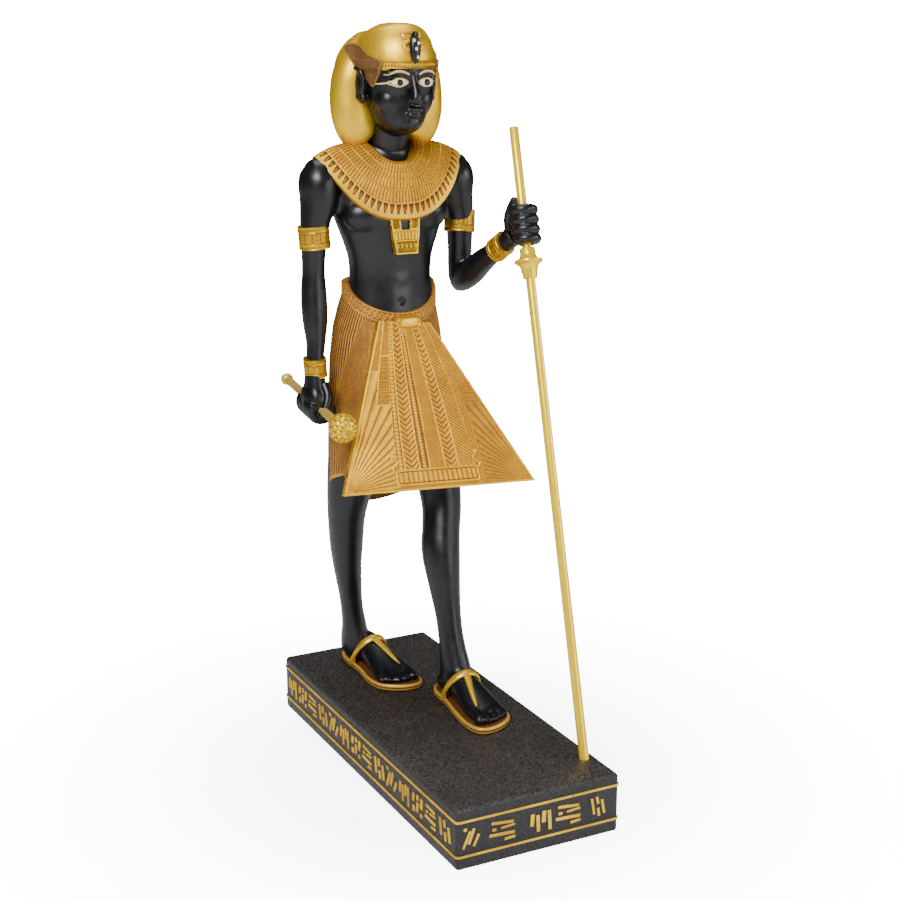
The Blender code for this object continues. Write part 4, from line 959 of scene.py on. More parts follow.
@dataclass
class Head:
    """Face, neck front and ears, with painted eyes of a plain, calm kind."""

    voxel: float = 0.36
    passes: int = 11
    rings: Rows = (
        (0.0, -18.6, 242.8, 4.4, 4.2), (0.0, -17.4, 244.8, 7.2, 7.4), (0.0, -14.6, 248.0, 10.0, 11.0),
        (0.0, -11.6, 251.8, 12.0, 14.2), (0.0, -9.2, 256.4, 13.2, 16.6), (0.0, -7.6, 261.6, 13.9, 18.2),
        (0.0, -6.6, 267.0, 14.3, 18.8), (0.0, -5.4, 273.0, 13.4, 17.4), (0.0, -4.4, 278.0, 10.4, 13.4),
        (0.0, -3.8, 281.0, 5.6, 7.0))
    neck: Rows = (
        (0.0, 2.0, 226.0, 7.0, 6.6), (0.0, 1.6, 234.0, 8.6, 8.2), (0.0, -0.6, 242.0, 8.4, 8.6),
        (0.0, -2.6, 250.0, 8.6, 9.0))
    nose: Rows = (
        (0.0, -23.8, 265.4, 1.7, 1.8), (0.0, -24.8, 261.4, 1.7, 1.9), (0.0, -26.3, 257.8, 1.9, 2.1),
        (0.0, -27.2, 255.3, 2.2, 1.8), (0.0, -25.6, 254.0, 1.8, 1.3))
    masses: Rows = (
        (0.0, -19.6, 246.0, 5.2, 4.0, 3.4), (-6.2, -14.8, 254.6, 6.2, 6.2, 6.8),
        (-1.1, -25.0, 251.4, 2.9, 1.9, 1.1), (0.0, -24.7, 249.2, 3.4, 2.0, 1.4),
        (-6.0, -22.5, 261.9, 3.4, 2.0, 1.8), (-5.8, -22.2, 265.7, 5.2, 2.2, 1.5),
        (-2.0, -25.3, 254.9, 1.45, 1.7, 1.2), (-15.8, -6.8, 261.0, 1.9, 4.2, 6.3),
        (-15.6, -4.4, 262.0, 1.9, 3.8, 5.2), (-15.4, -8.4, 255.6, 1.7, 2.2, 2.4))
    ear: Rows = (
        (-15.6, -10.4, 262.6, 1.1, 1.1), (-16.4, -9.2, 266.0, 1.2, 1.2), (-17.0, -6.0, 267.4, 1.2, 1.2),
        (-17.3, -3.4, 265.0, 1.2, 1.2), (-17.2, -3.2, 260.6, 1.2, 1.2), (-16.7, -5.2, 256.8, 1.2, 1.2),
        (-15.8, -8.2, 254.8, 1.1, 1.1))
    eye: Row = (6.0, 261.9, 3.4, 1.25)
    iris: float = 1.35
    line: float = 0.36
    brow: Rows = ((2.2, 265.0), (4.6, 266.1), (7.6, 266.2), (10.6, 264.9))
    brow_radii: Row = (0.35, 0.5, 0.48, 0.25)
    wing: Rows = ((9.4, 261.8), (11.2, 261.4), (13.0, 261.2))
    wing_tip: float = 0.15
    patch_points: int = 48
    patch_dome: Rows = ((1.0, 0.0), (0.9, 0.08), (0.6, 0.12), (0.2, 0.13))
    patch_sunk: float = -0.5

    def almond(self, turn: float) -> tuple[float, float]:
        """Outline of an eye at an angle, across from its middle and up from it."""
        _, _, wide, high = self.eye
        across = math.cos(turn)
        lid = math.sin(turn) * (1.0 - 0.55 * abs(across) ** 3)
        return wide * across, high * lid - 0.12 * across

    def patch(self, skin: Surface, middle: Row, outline: Callable[[float], tuple[float, float]],
              lift: float) -> Shape:
        """A thin domed patch of paint on the face.

        Args:
            skin: the face's outside.
            middle: place across and up.
            outline: the patch's outline by angle.
            lift: how far it stands off the face.

        Returns:
            The patch.
        """
        spots = [outline(TURN * step / self.patch_points) for step in range(self.patch_points)]
        layers = [(1.0, self.patch_sunk), *((share, lift + more) for share, more in self.patch_dome)]
        return loft([[skin.front(middle[0] + x * share, middle[1] + z * share, off) for x, z in spots]
                     for share, off in layers])

    def stroke(self, skin: Surface, points: Sequence[Row], radii: Sequence[float]) -> Shape:
        """A painted line on the face, as a thin raised thread."""
        flat = blend_rows([(*point, radius) for point, radius in zip(points, radii)], 5)
        rows = [(*skin.front(row.x, row.y, 0.06), row.z, row.z * 0.8) for row in flat]
        return limb(rows, sides=10, steps=1, hint=UPWARD)

    def paint(self, finishes: Finishes, head: Piece) -> None:
        """Lay the eyes, their outlines and the brow lines on the face."""
        skin = Surface(head)
        whites, irises, lines, brows = [], [], [], []
        across, up = self.eye[:2]
        for side in (-1.0, 1.0):
            middle = (side * across, up)
            whites.append(self.patch(skin, middle, self.almond, 0.05))
            irises.append(self.patch(skin, (middle[0], up + 0.05), lambda turn: (
                self.iris * math.cos(turn), self.iris * 0.86 * math.sin(turn)), 0.16))
            loop = [self.almond(TURN * step / 16) for step in range(16)]
            for half in (loop[:9], loop[8:] + loop[:1]):
                spots = [(middle[0] + side * x * 1.06, up + z * 1.16) for x, z in half]
                lines.append(self.stroke(skin, spots, [self.line] * len(spots)))
            wing, brow = ([(side * x, z) for x, z in rows] for rows in (self.wing, self.brow))
            lines.append(self.stroke(skin, wing, (self.line, self.line, self.wing_tip)))
            brows.append(self.stroke(skin, brow, self.brow_radii))
        dress(stamp(joined(whites), "eye_whites"), finishes.eye_white)
        dress(stamp(joined(irises), "irises"), finishes.skin)
        dress(stamp(joined(lines), "eye_lines"), finishes.eye_line)
        dress(stamp(joined(brows), "brow_lines"), finishes.brow_line)

    def build(self, finishes: Finishes) -> None:
        """Cast and paint the head."""
        shapes = [limb(self.rings, sides=48), limb(self.nose, sides=20), limb(self.neck, sides=36)]
        shapes.extend(mass(row) for row in both_sides(self.masses))
        shapes.extend(limb(rows, sides=16) for rows in (self.ear, mirrored(self.ear)))
        self.paint(finishes, dress(fuse(shapes, "head", self.voxel, self.passes), finishes.skin, Crease.SOFT))


@dataclass
class HeadCloth:
    """Bagged head cloth with a beaded brow band, a tail behind and a plain tab at each temple."""

    voxel: float = 0.6
    passes: int = 9
    bag: Rows = (
        (0.0, 6.4, 237.0, 12.0, 6.0), (0.0, 6.6, 243.0, 16.0, 7.4), (0.0, 6.4, 250.0, 18.0, 8.2),
        (0.0, 6.0, 258.0, 19.6, 9.0), (0.0, 4.0, 265.0, 22.0, 11.4), (0.0, 2.6, 271.0, 21.2, 13.0),
        (0.0, 1.6, 276.4, 17.4, 13.4), (0.0, 1.0, 280.6, 12.0, 11.2))
    lobe: Rows = (
        (13.2, 1.4, 236.2, 3.8, 3.4), (13.8, 1.4, 238.8, 6.8, 6.0), (14.4, 1.4, 243.6, 8.8, 7.6),
        (15.0, 1.5, 250.0, 9.8, 8.2), (15.1, 1.8, 257.0, 9.8, 8.4), (14.4, 1.8, 264.0, 9.2, 8.8),
        (12.6, 2.0, 270.0, 7.7, 8.6), (10.6, 2.2, 274.0, 5.4, 7.0))
    dome: Rows = (
        (0.0, -4.8, 265.8, 16.0, 20.2), (0.0, -4.5, 270.0, 16.6, 20.6), (0.0, -3.0, 275.0, 15.8, 19.0),
        (0.0, -1.2, 279.4, 12.9, 15.4), (0.0, -0.2, 282.4, 8.8, 10.6), (0.0, 0.2, 284.6, 3.8, 4.8))
    crown: Rows = ((0.0, 3.6, 269.5, 17.5, 12.0, 10.5), (-9.0, 3.0, 273.5, 8.5, 11.0, 6.8))
    tail: Rows = (
        (0.0, 8.0, 244.0, 7.0, 6.0), (0.0, 12.6, 235.0, 4.4, 3.8), (0.0, 15.2, 226.0, 3.4, 2.8),
        (0.0, 16.6, 216.0, 2.8, 2.2))
    band: Rows = (
        (267.2, 15.0, 17.6), (267.2, 16.7, 19.35), (270.3, 17.1, 19.6), (270.5, 15.6, 18.2))
    band_back: float = -6.4
    band_sides: int = 360
    band_rows: int = 14
    bead_pitch: float = 1.3
    tab: Rows = (
        (-18.2, 1.8, 275.4), (-16.2, 0.1, 276.9), (-15.2, -7.3, 276.0), (-14.4, -14.0, 272.4),
        (-11.6, -20.4, 269.8),
        (-11.7, -19.4, 267.4), (-12.0, -16.5, 263.6), (-12.8, -13.6, 259.8), (-14.0, -10.6, 262.8),
        (-16.0, -8.1, 265.2), (-17.8, -5.7, 268.8), (-18.4, -1.6, 273.0))
    tab_way: Row = (-0.88, -0.46, 0.10)
    tab_reach: float = 4.0
    tab_evening: int = 8
    tab_layers: Rows = (
        (1.0, -2.2, 0.4), (1.0, 0.4, 0.7), (0.975, 0.75, 0.8), (0.93, 0.75, 0.7), (0.90, 0.6, 0.5),
        *((share, 0.6, 0.6) for share in (0.75, 0.6, 0.45, 0.3, 0.15, 0.05)))

    def brow_band(self) -> Shape:
        """The band round the brow, with a row of small beads between two rims."""
        turns = round_turns(self.band_sides)
        under, low, high, over = (np.array(row) for row in self.band)
        shares = np.linspace(0.0, 1.0, self.band_rows)
        inner, outer = ([hoop(turns, wide, deep, self.band_back, up) for up, wide, deep in rows]
                        for rows in ((under, over), [low + (high - low) * s for s in shares]))
        around, total = ring_lengths(np.stack(outer))
        count = round(total[0] / self.bead_pitch)
        share = shares[:, None]
        rims = np.maximum(ridge(share, 0.08, 0.06, 0.06), ridge(share, 0.92, 0.06, 0.06))
        away = (np.abs(around * count % 1.0 - 0.5) / 0.42) ** 2 + ((share - 0.5) / 0.24) ** 2
        tone = np.clip(np.maximum(rims, np.clip(1.0 - away, 0, 1) ** 0.5), 0.0, 1.0)
        rings = lift_rings(np.stack(outer), 0.3 * tone - 0.15)
        hidden = np.zeros(self.band_sides)
        return loft([inner[0], *rings, inner[1]], [hidden, *(0.35 + 0.6 * tone), hidden])

    def temple_tab(self, under: Surface, side: float) -> Shape:
        """A flat tab from the temple to the crown, painted dark as shade, stood a little off what is under
        it.

        Args:
            under: the cloth and the brow band.
            side: -1 for the figure's right, 1 for its left.

        Returns:
            The tab.
        """
        out = Vector(self.tab_way).normalized()
        steps = 8
        smooth = blend_rows([self.tab[-1], *self.tab, *self.tab[:2]], steps)[steps:-steps - 1]
        middle = sum((Vector(row) for row in self.tab), Vector()) / len(self.tab)
        rings, tone = [], []
        for share, lift, value in self.tab_layers:
            spots = [middle.lerp(point, share) for point in smooth]
            proud = np.array([under.stands_out(spot, out, self.tab_reach) for spot in spots])
            for _ in range(self.tab_evening):
                proud = np.maximum(proud, (np.roll(proud, 1) + proud + np.roll(proud, -1)) / 3.0)
            ring = [spot + out * (lift + float(rise)) for spot, rise in zip(spots, proud)]
            rings.append([Vector((-side * point.x, point.y, point.z)) for point in ring])
            tone.append([value] * len(ring))
        return loft(rings, tone)

    def build(self, finishes: Finishes) -> Piece:
        """Cast and gild the head cloth, its band and its tabs, and give the cloth."""
        tables = (self.bag, self.lobe, mirrored(self.lobe), self.dome, self.tail)
        shapes = [limb(rows, sides=48) for rows in tables] + [mass(row) for row in both_sides(self.crown)]
        cloth = dress(fuse(shapes, "headcloth", self.voxel, self.passes), finishes.khat, Crease.SOFT)
        band = dress(stamp(self.brow_band(), "brow_band"), finishes.bands)
        under = Surface(cloth, band)
        tabs = joined(self.temple_tab(under, side) for side in (-1.0, 1.0))
        # Painted shade: the temple tabs are a dark sheet where the cloth lies in shade.
        dress(stamp(tabs, "temple_tabs"), finishes.shadow_gold)
        return cloth


@dataclass
class Serpent:
    """Hooded serpent at the brow: a black hood, with gilt coils and a tail along the crest."""

    hood: Row = (0.0, -25.6, 275.4, 2.4, 1.9, 6.1)
    lean: float = math.radians(-6.0)
    head: Row = (0.0, -25.7, 280.3, 1.3, 2.0, 1.6)
    spine: Rows = (
        (0.0, -24.0, 269.0, 1.3, 1.2), (0.0, -23.0, 274.0, 1.4, 2.4), (0.0, -21.6, 278.0, 1.0, 2.0))
    coil_radius: float = 0.95
    loops: tuple[Rows, ...] = (
        ((-0.3, 277.6), (-2.2, 277.4), (-3.4, 276.7), (-3.8, 275.7), (-3.1, 274.9), (-1.2, 274.4)),
        ((0.0, 278.9), (-2.7, 279.3), (-3.7, 280.0), (-2.4, 280.8), (0.0, 280.9)))
    tail: Rows = (
        (0.0, -19.0, 279.0, 0.9, 0.9), (0.0, -14.6, 281.2, 0.9, 0.9), (0.0, -9.2, 283.4, 0.9, 0.9),
        (0.0, -3.0, 284.5, 0.7, 0.7))
    # Places across and up of painted highlights on the black hood, laid as small near-white dots.
    spots: Rows = ((-0.8, 278.2), (-0.2, 275.0), (0.5, 271.8), (0.9, 277.2))
    glint_size: Row = (0.55, 0.3, 0.7)
    voxel: float = 0.28
    passes: int = 4

    def coils(self, cloth: Surface) -> list[Shape]:
        """The loops of the body on both sides of the hood, laid on the cloth."""
        shapes = []
        for loop in self.loops:
            for points in (loop, mirrored(loop)):
                rows = [(*cloth.front(x, z, 0.5 * self.coil_radius), self.coil_radius, self.coil_radius)
                        for x, z in points]
                shapes.append(limb(rows, sides=14, hint=Vector((0.0, -0.9, 0.44))))
        return shapes

    def build(self, finishes: Finishes, cloth: Piece) -> None:
        """Model the hood, its painted highlights and the coils."""
        shapes = [mass(self.hood, self.lean), mass(self.head), limb(self.spine, sides=16)]
        hood = dress(fuse(shapes, "serpent_hood", self.voxel, self.passes), finishes.skin, Crease.SOFT)
        surface = Surface(hood)
        spots = joined(mass((*surface.front(x, z, 0.0), *self.glint_size), sides=12) for x, z in self.spots)
        dress(stamp(spots, "hood_glints"), finishes.hood_glint)
        coils = joined([*self.coils(Surface(cloth)), limb(self.tail, sides=14)])
        dress(stamp(coils, "serpent_coils"), finishes.plain_trim, Crease.SOFT)


@dataclass
class Collar:
    """Broad collar: rows of tube beads between fillets, a row of drops and a plain rim."""

    back: float = 1.5
    rows: Rows = (
        (228.0, 235.0, 234.0, 8.0, 9.4, 6.6), (229.8, 237.4, 238.0, 10.0, 11.8, 8.6),
        (229.4, 237.6, 237.4, 11.6, 13.0, 10.4), (222.6, 236.8, 231.6, 19.4, 15.4, 14.2),
        (214.8, 234.8, 224.4, 26.8, 16.8, 16.2), (207.0, 231.6, 216.6, 32.8, 17.6, 17.2),
        (205.8, 230.0, 215.4, 32.0, 16.4, 16.0), (212.0, 226.0, 218.0, 24.0, 9.0, 9.0))
    drape: float = 1.3
    neck: float = 0.03
    sides: int = 960
    steps: int = 22
    fillets: Row = (0.167, 0.32, 0.51, 0.735)
    rim: float = 0.905
    raised: float = 0.3
    bead_pitch: float = 1.05
    drop_pitch: float = 3.1
    lift: float = 0.42

    def ring(self, row: Sequence[float]) -> np.ndarray:
        """One ring, which drapes lower at the front and back than over the shoulders."""
        front, side, rear, half_width, to_front, to_back = row
        turns = round_turns(self.sides)
        depth = np.sin(turns)
        reach = np.where(depth > 0.0, to_back, to_front)
        end = np.where(depth > 0.0, rear, front)
        up = end + (side - end) * np.clip(1.0 - depth * depth, 0.0, 1.0) ** self.drape
        return hoop(turns, half_width, reach, self.back, up)

    def pattern(self, share: np.ndarray, around: np.ndarray, length: np.ndarray) -> np.ndarray:
        """Relief of the collar from the neck rim to the outer rim."""
        tone = np.zeros_like(around)
        for low, high in zip((self.neck, *self.fillets), self.fillets):
            inside = (share > low) & (share < high)
            middle = 0.5 * (low + high)
            count = np.round(length.mean() * (0.45 + 0.62 * middle) / self.bead_pitch)
            row = tubes(around * count + (0.5 if low > self.neck else 0.0), 0.34)
            ends = np.clip((0.5 - np.abs((share - middle) / (high - low))) / 0.16, 0.0, 1.0)
            tone = np.where(inside, 0.08 + 0.70 * row * np.sqrt(ends), tone)
        low, high = self.fillets[3], self.rim
        inside = (share > low) & (share < high)
        down = (share - low) / (high - low)
        count = np.round(length[-1] / self.drop_pitch)
        place = around * count % 1.0
        upright = np.clip((0.08 + 0.32 * down - np.abs(place - 0.5)) / 0.05, 0.0, 1.0) * (down > 0.08)
        between = (place + 0.5) % 1.0 - 0.5
        drop = np.clip((0.17 - np.hypot(between, (down - 0.55) * 0.42)) / 0.07, 0.0, 1.0) * 0.42
        tone = np.where(inside, np.maximum(upright, drop), tone)
        for line in self.fillets:
            tone = np.maximum(tone, ridge(share, line, 0.011, 0.010))
        tone = np.maximum(tone, (share >= self.rim) * 1.0)
        return np.maximum(tone, (share <= self.neck) * 0.55)

    def build(self, finishes: Finishes) -> None:
        """Model and gild the collar."""
        stations = blend_rows(self.rows[2:6], self.steps)
        rings = np.stack([self.ring(row) for row in stations])
        share = np.linspace(0.0, 1.0, len(stations))[:, None]
        tone = self.pattern(share, *ring_lengths(rings))
        rings = lift_rings(rings, self.raised + self.lift * (tone - 0.5))
        start = [self.ring(row) for row in self.rows[:2]]
        end = [self.ring(row) for row in self.rows[6:]]
        plain = [np.full(self.sides, 0.5)] * 2
        collar = loft([*start, *rings, *end], [*plain, *tone, *plain])
        dress(stamp(collar, "collar"), finishes.dress, Crease.CARVED)


@dataclass
class Pectoral:
    """Small tapered plate that hangs from the collar by two straps."""

    middle: Row = (0.3, -14.6, 199.6)
    widths: Row = (13.6, 9.8)
    height: float = 14.6
    thickness: float = 3.0
    lean: float = 0.14
    parts: Rows = ((0.0, 1.0, 0.31, 1.0), (0.0, 0.34, 0.0, 0.33), (0.66, 1.0, 0.0, 0.33))
    columns: int = 90
    rows: int = 110

    def face(self, across: float, down: float) -> Vector:
        """A point of the plate's front."""
        up = self.height * (0.5 - down)
        wide = self.widths[0] + (self.widths[1] - self.widths[0]) * down
        away = Vector(((across - 0.5) * wide, self.lean * up - self.thickness / 2.0, up))
        return Vector(self.middle) + away

    def pattern(self, part: Row, u: np.ndarray, v: np.ndarray) -> tuple[np.ndarray, np.ndarray]:
        """Carving of a part: zigzag straps, or upright bars, a line and drops, each within a rim.

        Args:
            part: its shares of the whole, across from and to, then down from and to.
            u, v: shares across and down the part.

        Returns:
            The lift in millimetres and the relief.
        """
        left, right, top, foot = part
        wide = self.widths[0] + (self.widths[1] - self.widths[0]) * (top + (foot - top) * v)
        x = (left + (right - left) * u - 0.5) * wide
        y = (top + (foot - top) * v) * self.height
        sides = np.minimum(u, 1.0 - u) * (right - left) * wide
        below = (1.0 - v) * (foot - top) * self.height
        rim = np.maximum(ridge(sides, 0.4, 0.35, 0.2), ridge(below, 0.4, 0.35, 0.2))
        if top == 0.0:
            carving = ridge(y, 0.6 + 3.2 * zigzag(x / 1.7), 0.3, 0.3)
        else:
            bars = tubes(x / 1.5 + 0.5, 0.3) * (y > 5.3) * (y < 8.6)
            line = np.maximum(ridge(y, 4.9, 0.3, 0.2), ridge(y, 9.1, 0.25, 0.2))
            drops = np.hypot((x / 2.0 + 0.5) % 1.0 - 0.5, (y - 11.2) / 3.6)
            drops = np.clip(1.0 - drops / 0.36, 0.0, 1.0) ** 0.5
            carving = np.maximum.reduce([bars, line, drops * (y > 9.5) * (y < 13.4)])
        tone = np.maximum(rim, carving)
        return 0.35 * tone - 0.35, 0.3 + 0.65 * tone

    def shape(self, part: Row) -> Shape:
        """One of the parts as a carved plate."""
        left, right, top, foot = part
        return plate(lambda u, v: self.face(left + (right - left) * u, top + (foot - top) * v), -BACKWARD,
                     self.thickness, int(self.columns * (right - left)), int(self.rows * (foot - top)),
                     lambda u, v: self.pattern(part, u, v))

    def build(self, finishes: Finishes) -> None:
        """Model and gild the plate and its two straps."""
        shapes = joined(self.shape(part) for part in self.parts)
        dress(stamp(shapes, "pectoral"), finishes.bands, Crease.CARVED)


@dataclass
class Kilt:
    """Wrapped kilt in fine upright pleats, hollow a little way up from its hem."""

    girths: Rows = (
        (0.0, 19.8, 15.4, 1.2), (0.1, 21.8, 18.0, 2.8), (0.2, 23.6, 19.8, 3.9), (0.35, 25.2, 21.2, 4.1),
        (0.55, 26.2, 22.0, 3.6), (0.8, 27.2, 22.8, 2.6), (1.0, 27.6, 23.2, 2.2))
    top: Row = (165.8, 177.0, 178.5)
    hem: Row = (104.0, 94.5, 75.5)
    pleats: int = 104
    sides: int = 832
    steps: int = 44
    relief: float = 0.36
    wall: float = 3.0
    recess: float = 0.92

    def girth(self, share: float) -> tuple[float, float, float]:
        """Half width, half depth and middle back at a share of the drop."""
        at = [row[0] for row in self.girths]
        return tuple(float(np.interp(share, at, [row[k] for row in self.girths])) for k in (1, 2, 3))

    def ring(self, share: float, inset: float) -> np.ndarray:
        """A ring of the kilt at a share of its drop, set in by so much."""
        half_width, half_depth, back = self.girth(share)
        turns = round_turns(self.sides)
        top, hem = (np.array([by_side(turn, *ends) for turn in turns]) for ends in (self.top, self.hem))
        return hoop(turns, half_width - inset, half_depth - inset, back, top + (hem - top) * share)

    def build(self, finishes: Finishes) -> None:
        """Model and gild the kilt."""
        shares = np.linspace(0.0, 1.0, self.steps)
        rings = np.stack([self.ring(share, 0.0) for share in shares])
        around, _ = ring_lengths(rings)
        sway = 0.35 * np.sin(shares * 9.0)[:, None] * 0.2
        tone = tubes(around * self.pleats + sway, 0.42)
        fade = np.clip(shares * 4.0 + 0.3, 0.0, 1.0)[:, None]
        rings = lift_rings(rings, self.relief * (tone - 0.55) * fade)
        hem = ridge(shares, 1.0, 0.012, 0.006)[:, None]
        tone = np.maximum(0.9 * tone ** 2, hem)
        inner = [self.ring(share, inset) for share, inset in ((1.003, 0.7), (1.0, self.wall - 0.4),
                                                              (0.97, self.wall), (self.recess, self.wall))]
        # Painted shade: the hollow's inside takes ever less relief, so ever darker recess colour, the deeper
        # in it lies.
        inside = [np.full(self.sides, value) for value in (0.8, 0.3, 0.15, 0.1)]
        dress(stamp(loft([*rings, *inner], [*tone, *inside]), "kilt"), finishes.kilt, Crease.PLEATED)


@dataclass
class Apron:
    """Stiff three-cornered apron: a centre ribbon, fans of ribs from its lower corners, a fringed foot."""

    top: tuple[Row, Row] = ((-13.2, -17.0, 165.4), (10.6, -17.0, 162.8))
    foot: tuple[Row, Row] = ((-36.5, -31.9, 96.5), (45.7, -47.0, 96.5))
    thickness: float = 2.6
    ribbon: tuple[Row, Row] = ((0.18, 0.29), (0.86, 0.70))
    columns: Row = (0.0, 0.10, 0.29, 0.42, 0.62, 0.79, 1.0)
    fringe: Row = (0.872, 0.968)
    fringe_pitch: float = 2.1
    pitch: float = 2.2
    relief: float = 0.45
    fan_ribs: float = 11.0
    cell: Row = (0.20, 0.49)
    strip: Row = (0.05, 0.29)
    serpent: Rows = ((0.2, 3.0), (-1.3, 2.0), (-0.2, 0.6), (1.2, -0.8), (0.2, -2.2), (-1.4, -2.0))
    serpent_radius: float = 0.5
    disc: Row = (1.2, 0.7, 1.2)
    skirt_hem: float = 102.0
    skirt_inset: float = 1.2
    skirt_rows: int = 24
    skirt_columns: int = 60
    skirt_pleats: int = 150
    grid: tuple[int, int] = (280, 300)

    def face(self, across: float, down: float) -> Vector:
        """A point of the apron's front from its shares across and down."""
        left, right = (Vector(start).lerp(Vector(end), down) for start, end in zip(self.top, self.foot))
        return left.lerp(right, across)

    def outward(self) -> Vector:
        """The way the apron's front looks."""
        start, end = Vector(self.top[0]), Vector(self.foot[0])
        out = (end - start).cross(Vector(self.top[1]) - start).normalized()
        return out if out.y < 0.0 else -out

    def pattern(self, across: np.ndarray, down: np.ndarray) -> tuple[np.ndarray, np.ndarray]:
        """The apron's carving.

        Args:
            across: share across, from the figure's right.
            down: share down.

        Returns:
            The lift in millimetres and the relief.
        """
        top_wide = (Vector(self.top[1]) - Vector(self.top[0])).length
        foot_wide = (Vector(self.foot[1]) - Vector(self.foot[0])).length
        drop = (self.face(0.5, 1.0) - self.face(0.5, 0.0)).length
        wide = top_wide + (foot_wide - top_wide) * down
        y = down * drop
        edges = [start + (end - start) * down for start, end in self.ribbon]
        share = (across - edges[0]) / (edges[1] - edges[0])
        ribbon_wide = (edges[1] - edges[0]) * wide
        inside = (share > 0.0) & (share < 1.0)
        tone = np.zeros_like(across)
        for index, (low, high) in enumerate(zip(self.columns, self.columns[1:])):
            here = (share > low) & (share <= high)
            x = (share - 0.5 * (low + high)) * ribbon_wide
            half = 0.5 * (high - low) * ribbon_wide
            if index in (0, 2):
                pitch = self.pitch * (0.75 if index == 0 else 0.6)
                round_bead = np.hypot(x / np.minimum(half, 0.5 * pitch), (y / pitch % 1.0 - 0.5) / 0.5)
                cell = 0.2 + 0.8 * np.clip(1.15 - round_bead, 0.0, 1.0) ** 0.5
            elif index in (1, 4):
                cell = tubes((y + 0.9 * np.abs(x)) / self.pitch, 0.5) * 0.85
            elif index == 5:
                cell = tubes((y - 0.8 * x) / (self.pitch * 0.7), 0.36) * 0.8
            else:
                cell = np.full_like(x, 0.5)
            cell = cell * np.clip((half - np.abs(x)) / 0.4, 0.0, 1.0)
            tone = np.where(here, cell, tone)
        for line in self.columns:
            tone = np.maximum(tone, ridge((share - line) * ribbon_wide, 0.0, 0.28, 0.2))
        panels = self.side_panels(across, down, edges, wide, drop)
        tone = np.where(inside, np.where(down > self.fringe[1], 0.45, tone), panels)
        rim = np.minimum(across, 1.0 - across) * wide
        tone = np.maximum(tone, ridge(rim, 0.5, 0.45, 0.25))
        over = 0.03
        across_fringe = (share > -over) & (share < 1.0 + over)
        strokes = tubes(share * np.round(ribbon_wide.max() / self.fringe_pitch), 0.3)
        low, high = self.fringe
        beside = np.minimum(share + over, 1.0 + over - share) * ribbon_wide
        edge = np.minimum(beside, np.minimum(down - low, high - down) * drop)
        framed = np.maximum(ridge(edge, 0.45, 0.4, 0.25), strokes * 0.8 * (edge > 1.1))
        tone = np.where(across_fringe & (down > low) & (down < high), framed, tone)
        tone = np.maximum(tone, ridge(down, 0.992, 0.008, 0.006))
        return self.relief * tone - 0.25, tone

    def side_panels(self, across: np.ndarray, down: np.ndarray, edges: Sequence[np.ndarray], wide: np.ndarray,
                    drop: float) -> np.ndarray:
        """Carving beside the ribbon: fans of ribs from the lower corners, narrow cells above them.

        Args:
            across, down: shares across and down.
            edges: where the ribbon's two edges lie across.
            wide: the apron's width at each place.
            drop: its slanting height.

        Returns:
            The relief.
        """
        foot_wide = wide.max()
        x, y = (across - 0.5) * wide, down * drop
        fans = []
        for side in (-1.0, 1.0):
            angle = np.arctan2(0.985 * drop - y, side * (side * 0.485 * foot_wide - x) + 1e-6)
            fans.append(tubes(angle * self.fan_ribs, 0.42))
        beside = across / np.maximum(edges[0], 1e-6)
        split, foot = 0.52, self.cell[1]
        hatch = tubes(y / 0.85, 0.4) * 0.7
        left = 0.12 + 0.83 * fans[0]
        left = np.where((beside > split) & (down > self.cell[0]) & (down < foot), hatch, left)
        strip = (beside <= split) & (down > self.strip[0]) & (down < self.strip[1])
        left = np.where(strip | ((down < self.cell[0]) & (beside > split)), 0.45, left)
        upright = ridge((beside - split) * edges[0] * wide, 0.0, 0.25, 0.2) * (down < foot)
        seams = [ridge(down, at, 0.005, 0.005) * here for at, here in (
            (foot, beside > split), (self.strip[1], beside <= split), (self.cell[0], beside > split))]
        left = np.maximum.reduce([left, upright, *seams])
        inward = (across - edges[1]) * wide
        edging, middle = 3.6, 0.5
        right = 0.2 + 0.4 * fans[1]
        follow = 0.2 + 0.42 * tubes(inward / 1.2, 0.4)
        right = np.where((down < middle) | (inward < edging), follow, right)
        small = (down > 0.40) & (down < middle) & (inward > edging)
        right = np.where(small, 0.2 + hatch * 0.6, right)
        return np.where(across < 0.5, left, right)

    def serpents(self) -> list[Shape]:
        """A small raised serpent with a disc at each end of the fringe's top."""
        shapes, out = [], self.outward()
        level = self.fringe[0]
        across = (self.face(1.0, level) - self.face(0.0, level)).normalized()
        up = (self.face(0.5, 0.5) - self.face(0.5, 1.0)).normalized()
        for (start, end), side in zip(self.ribbon, (-1.0, 1.0)):
            middle = self.face(start + (end - start) * level + side * 0.015, level - 0.02)
            spots = [middle + across * (side * x) + up * z + out * 0.35 for x, z in self.serpent]
            rows = [(*spot, self.serpent_radius, self.serpent_radius) for spot in spots]
            shapes.append(limb(rows, sides=12, steps=4, hint=out))
            disc = middle + across * (side * self.serpent[0][0]) + up * (self.serpent[0][1] + 1.2) + out * 0.3
            shapes.append(mass((*disc, *self.disc), sides=20))
        return shapes

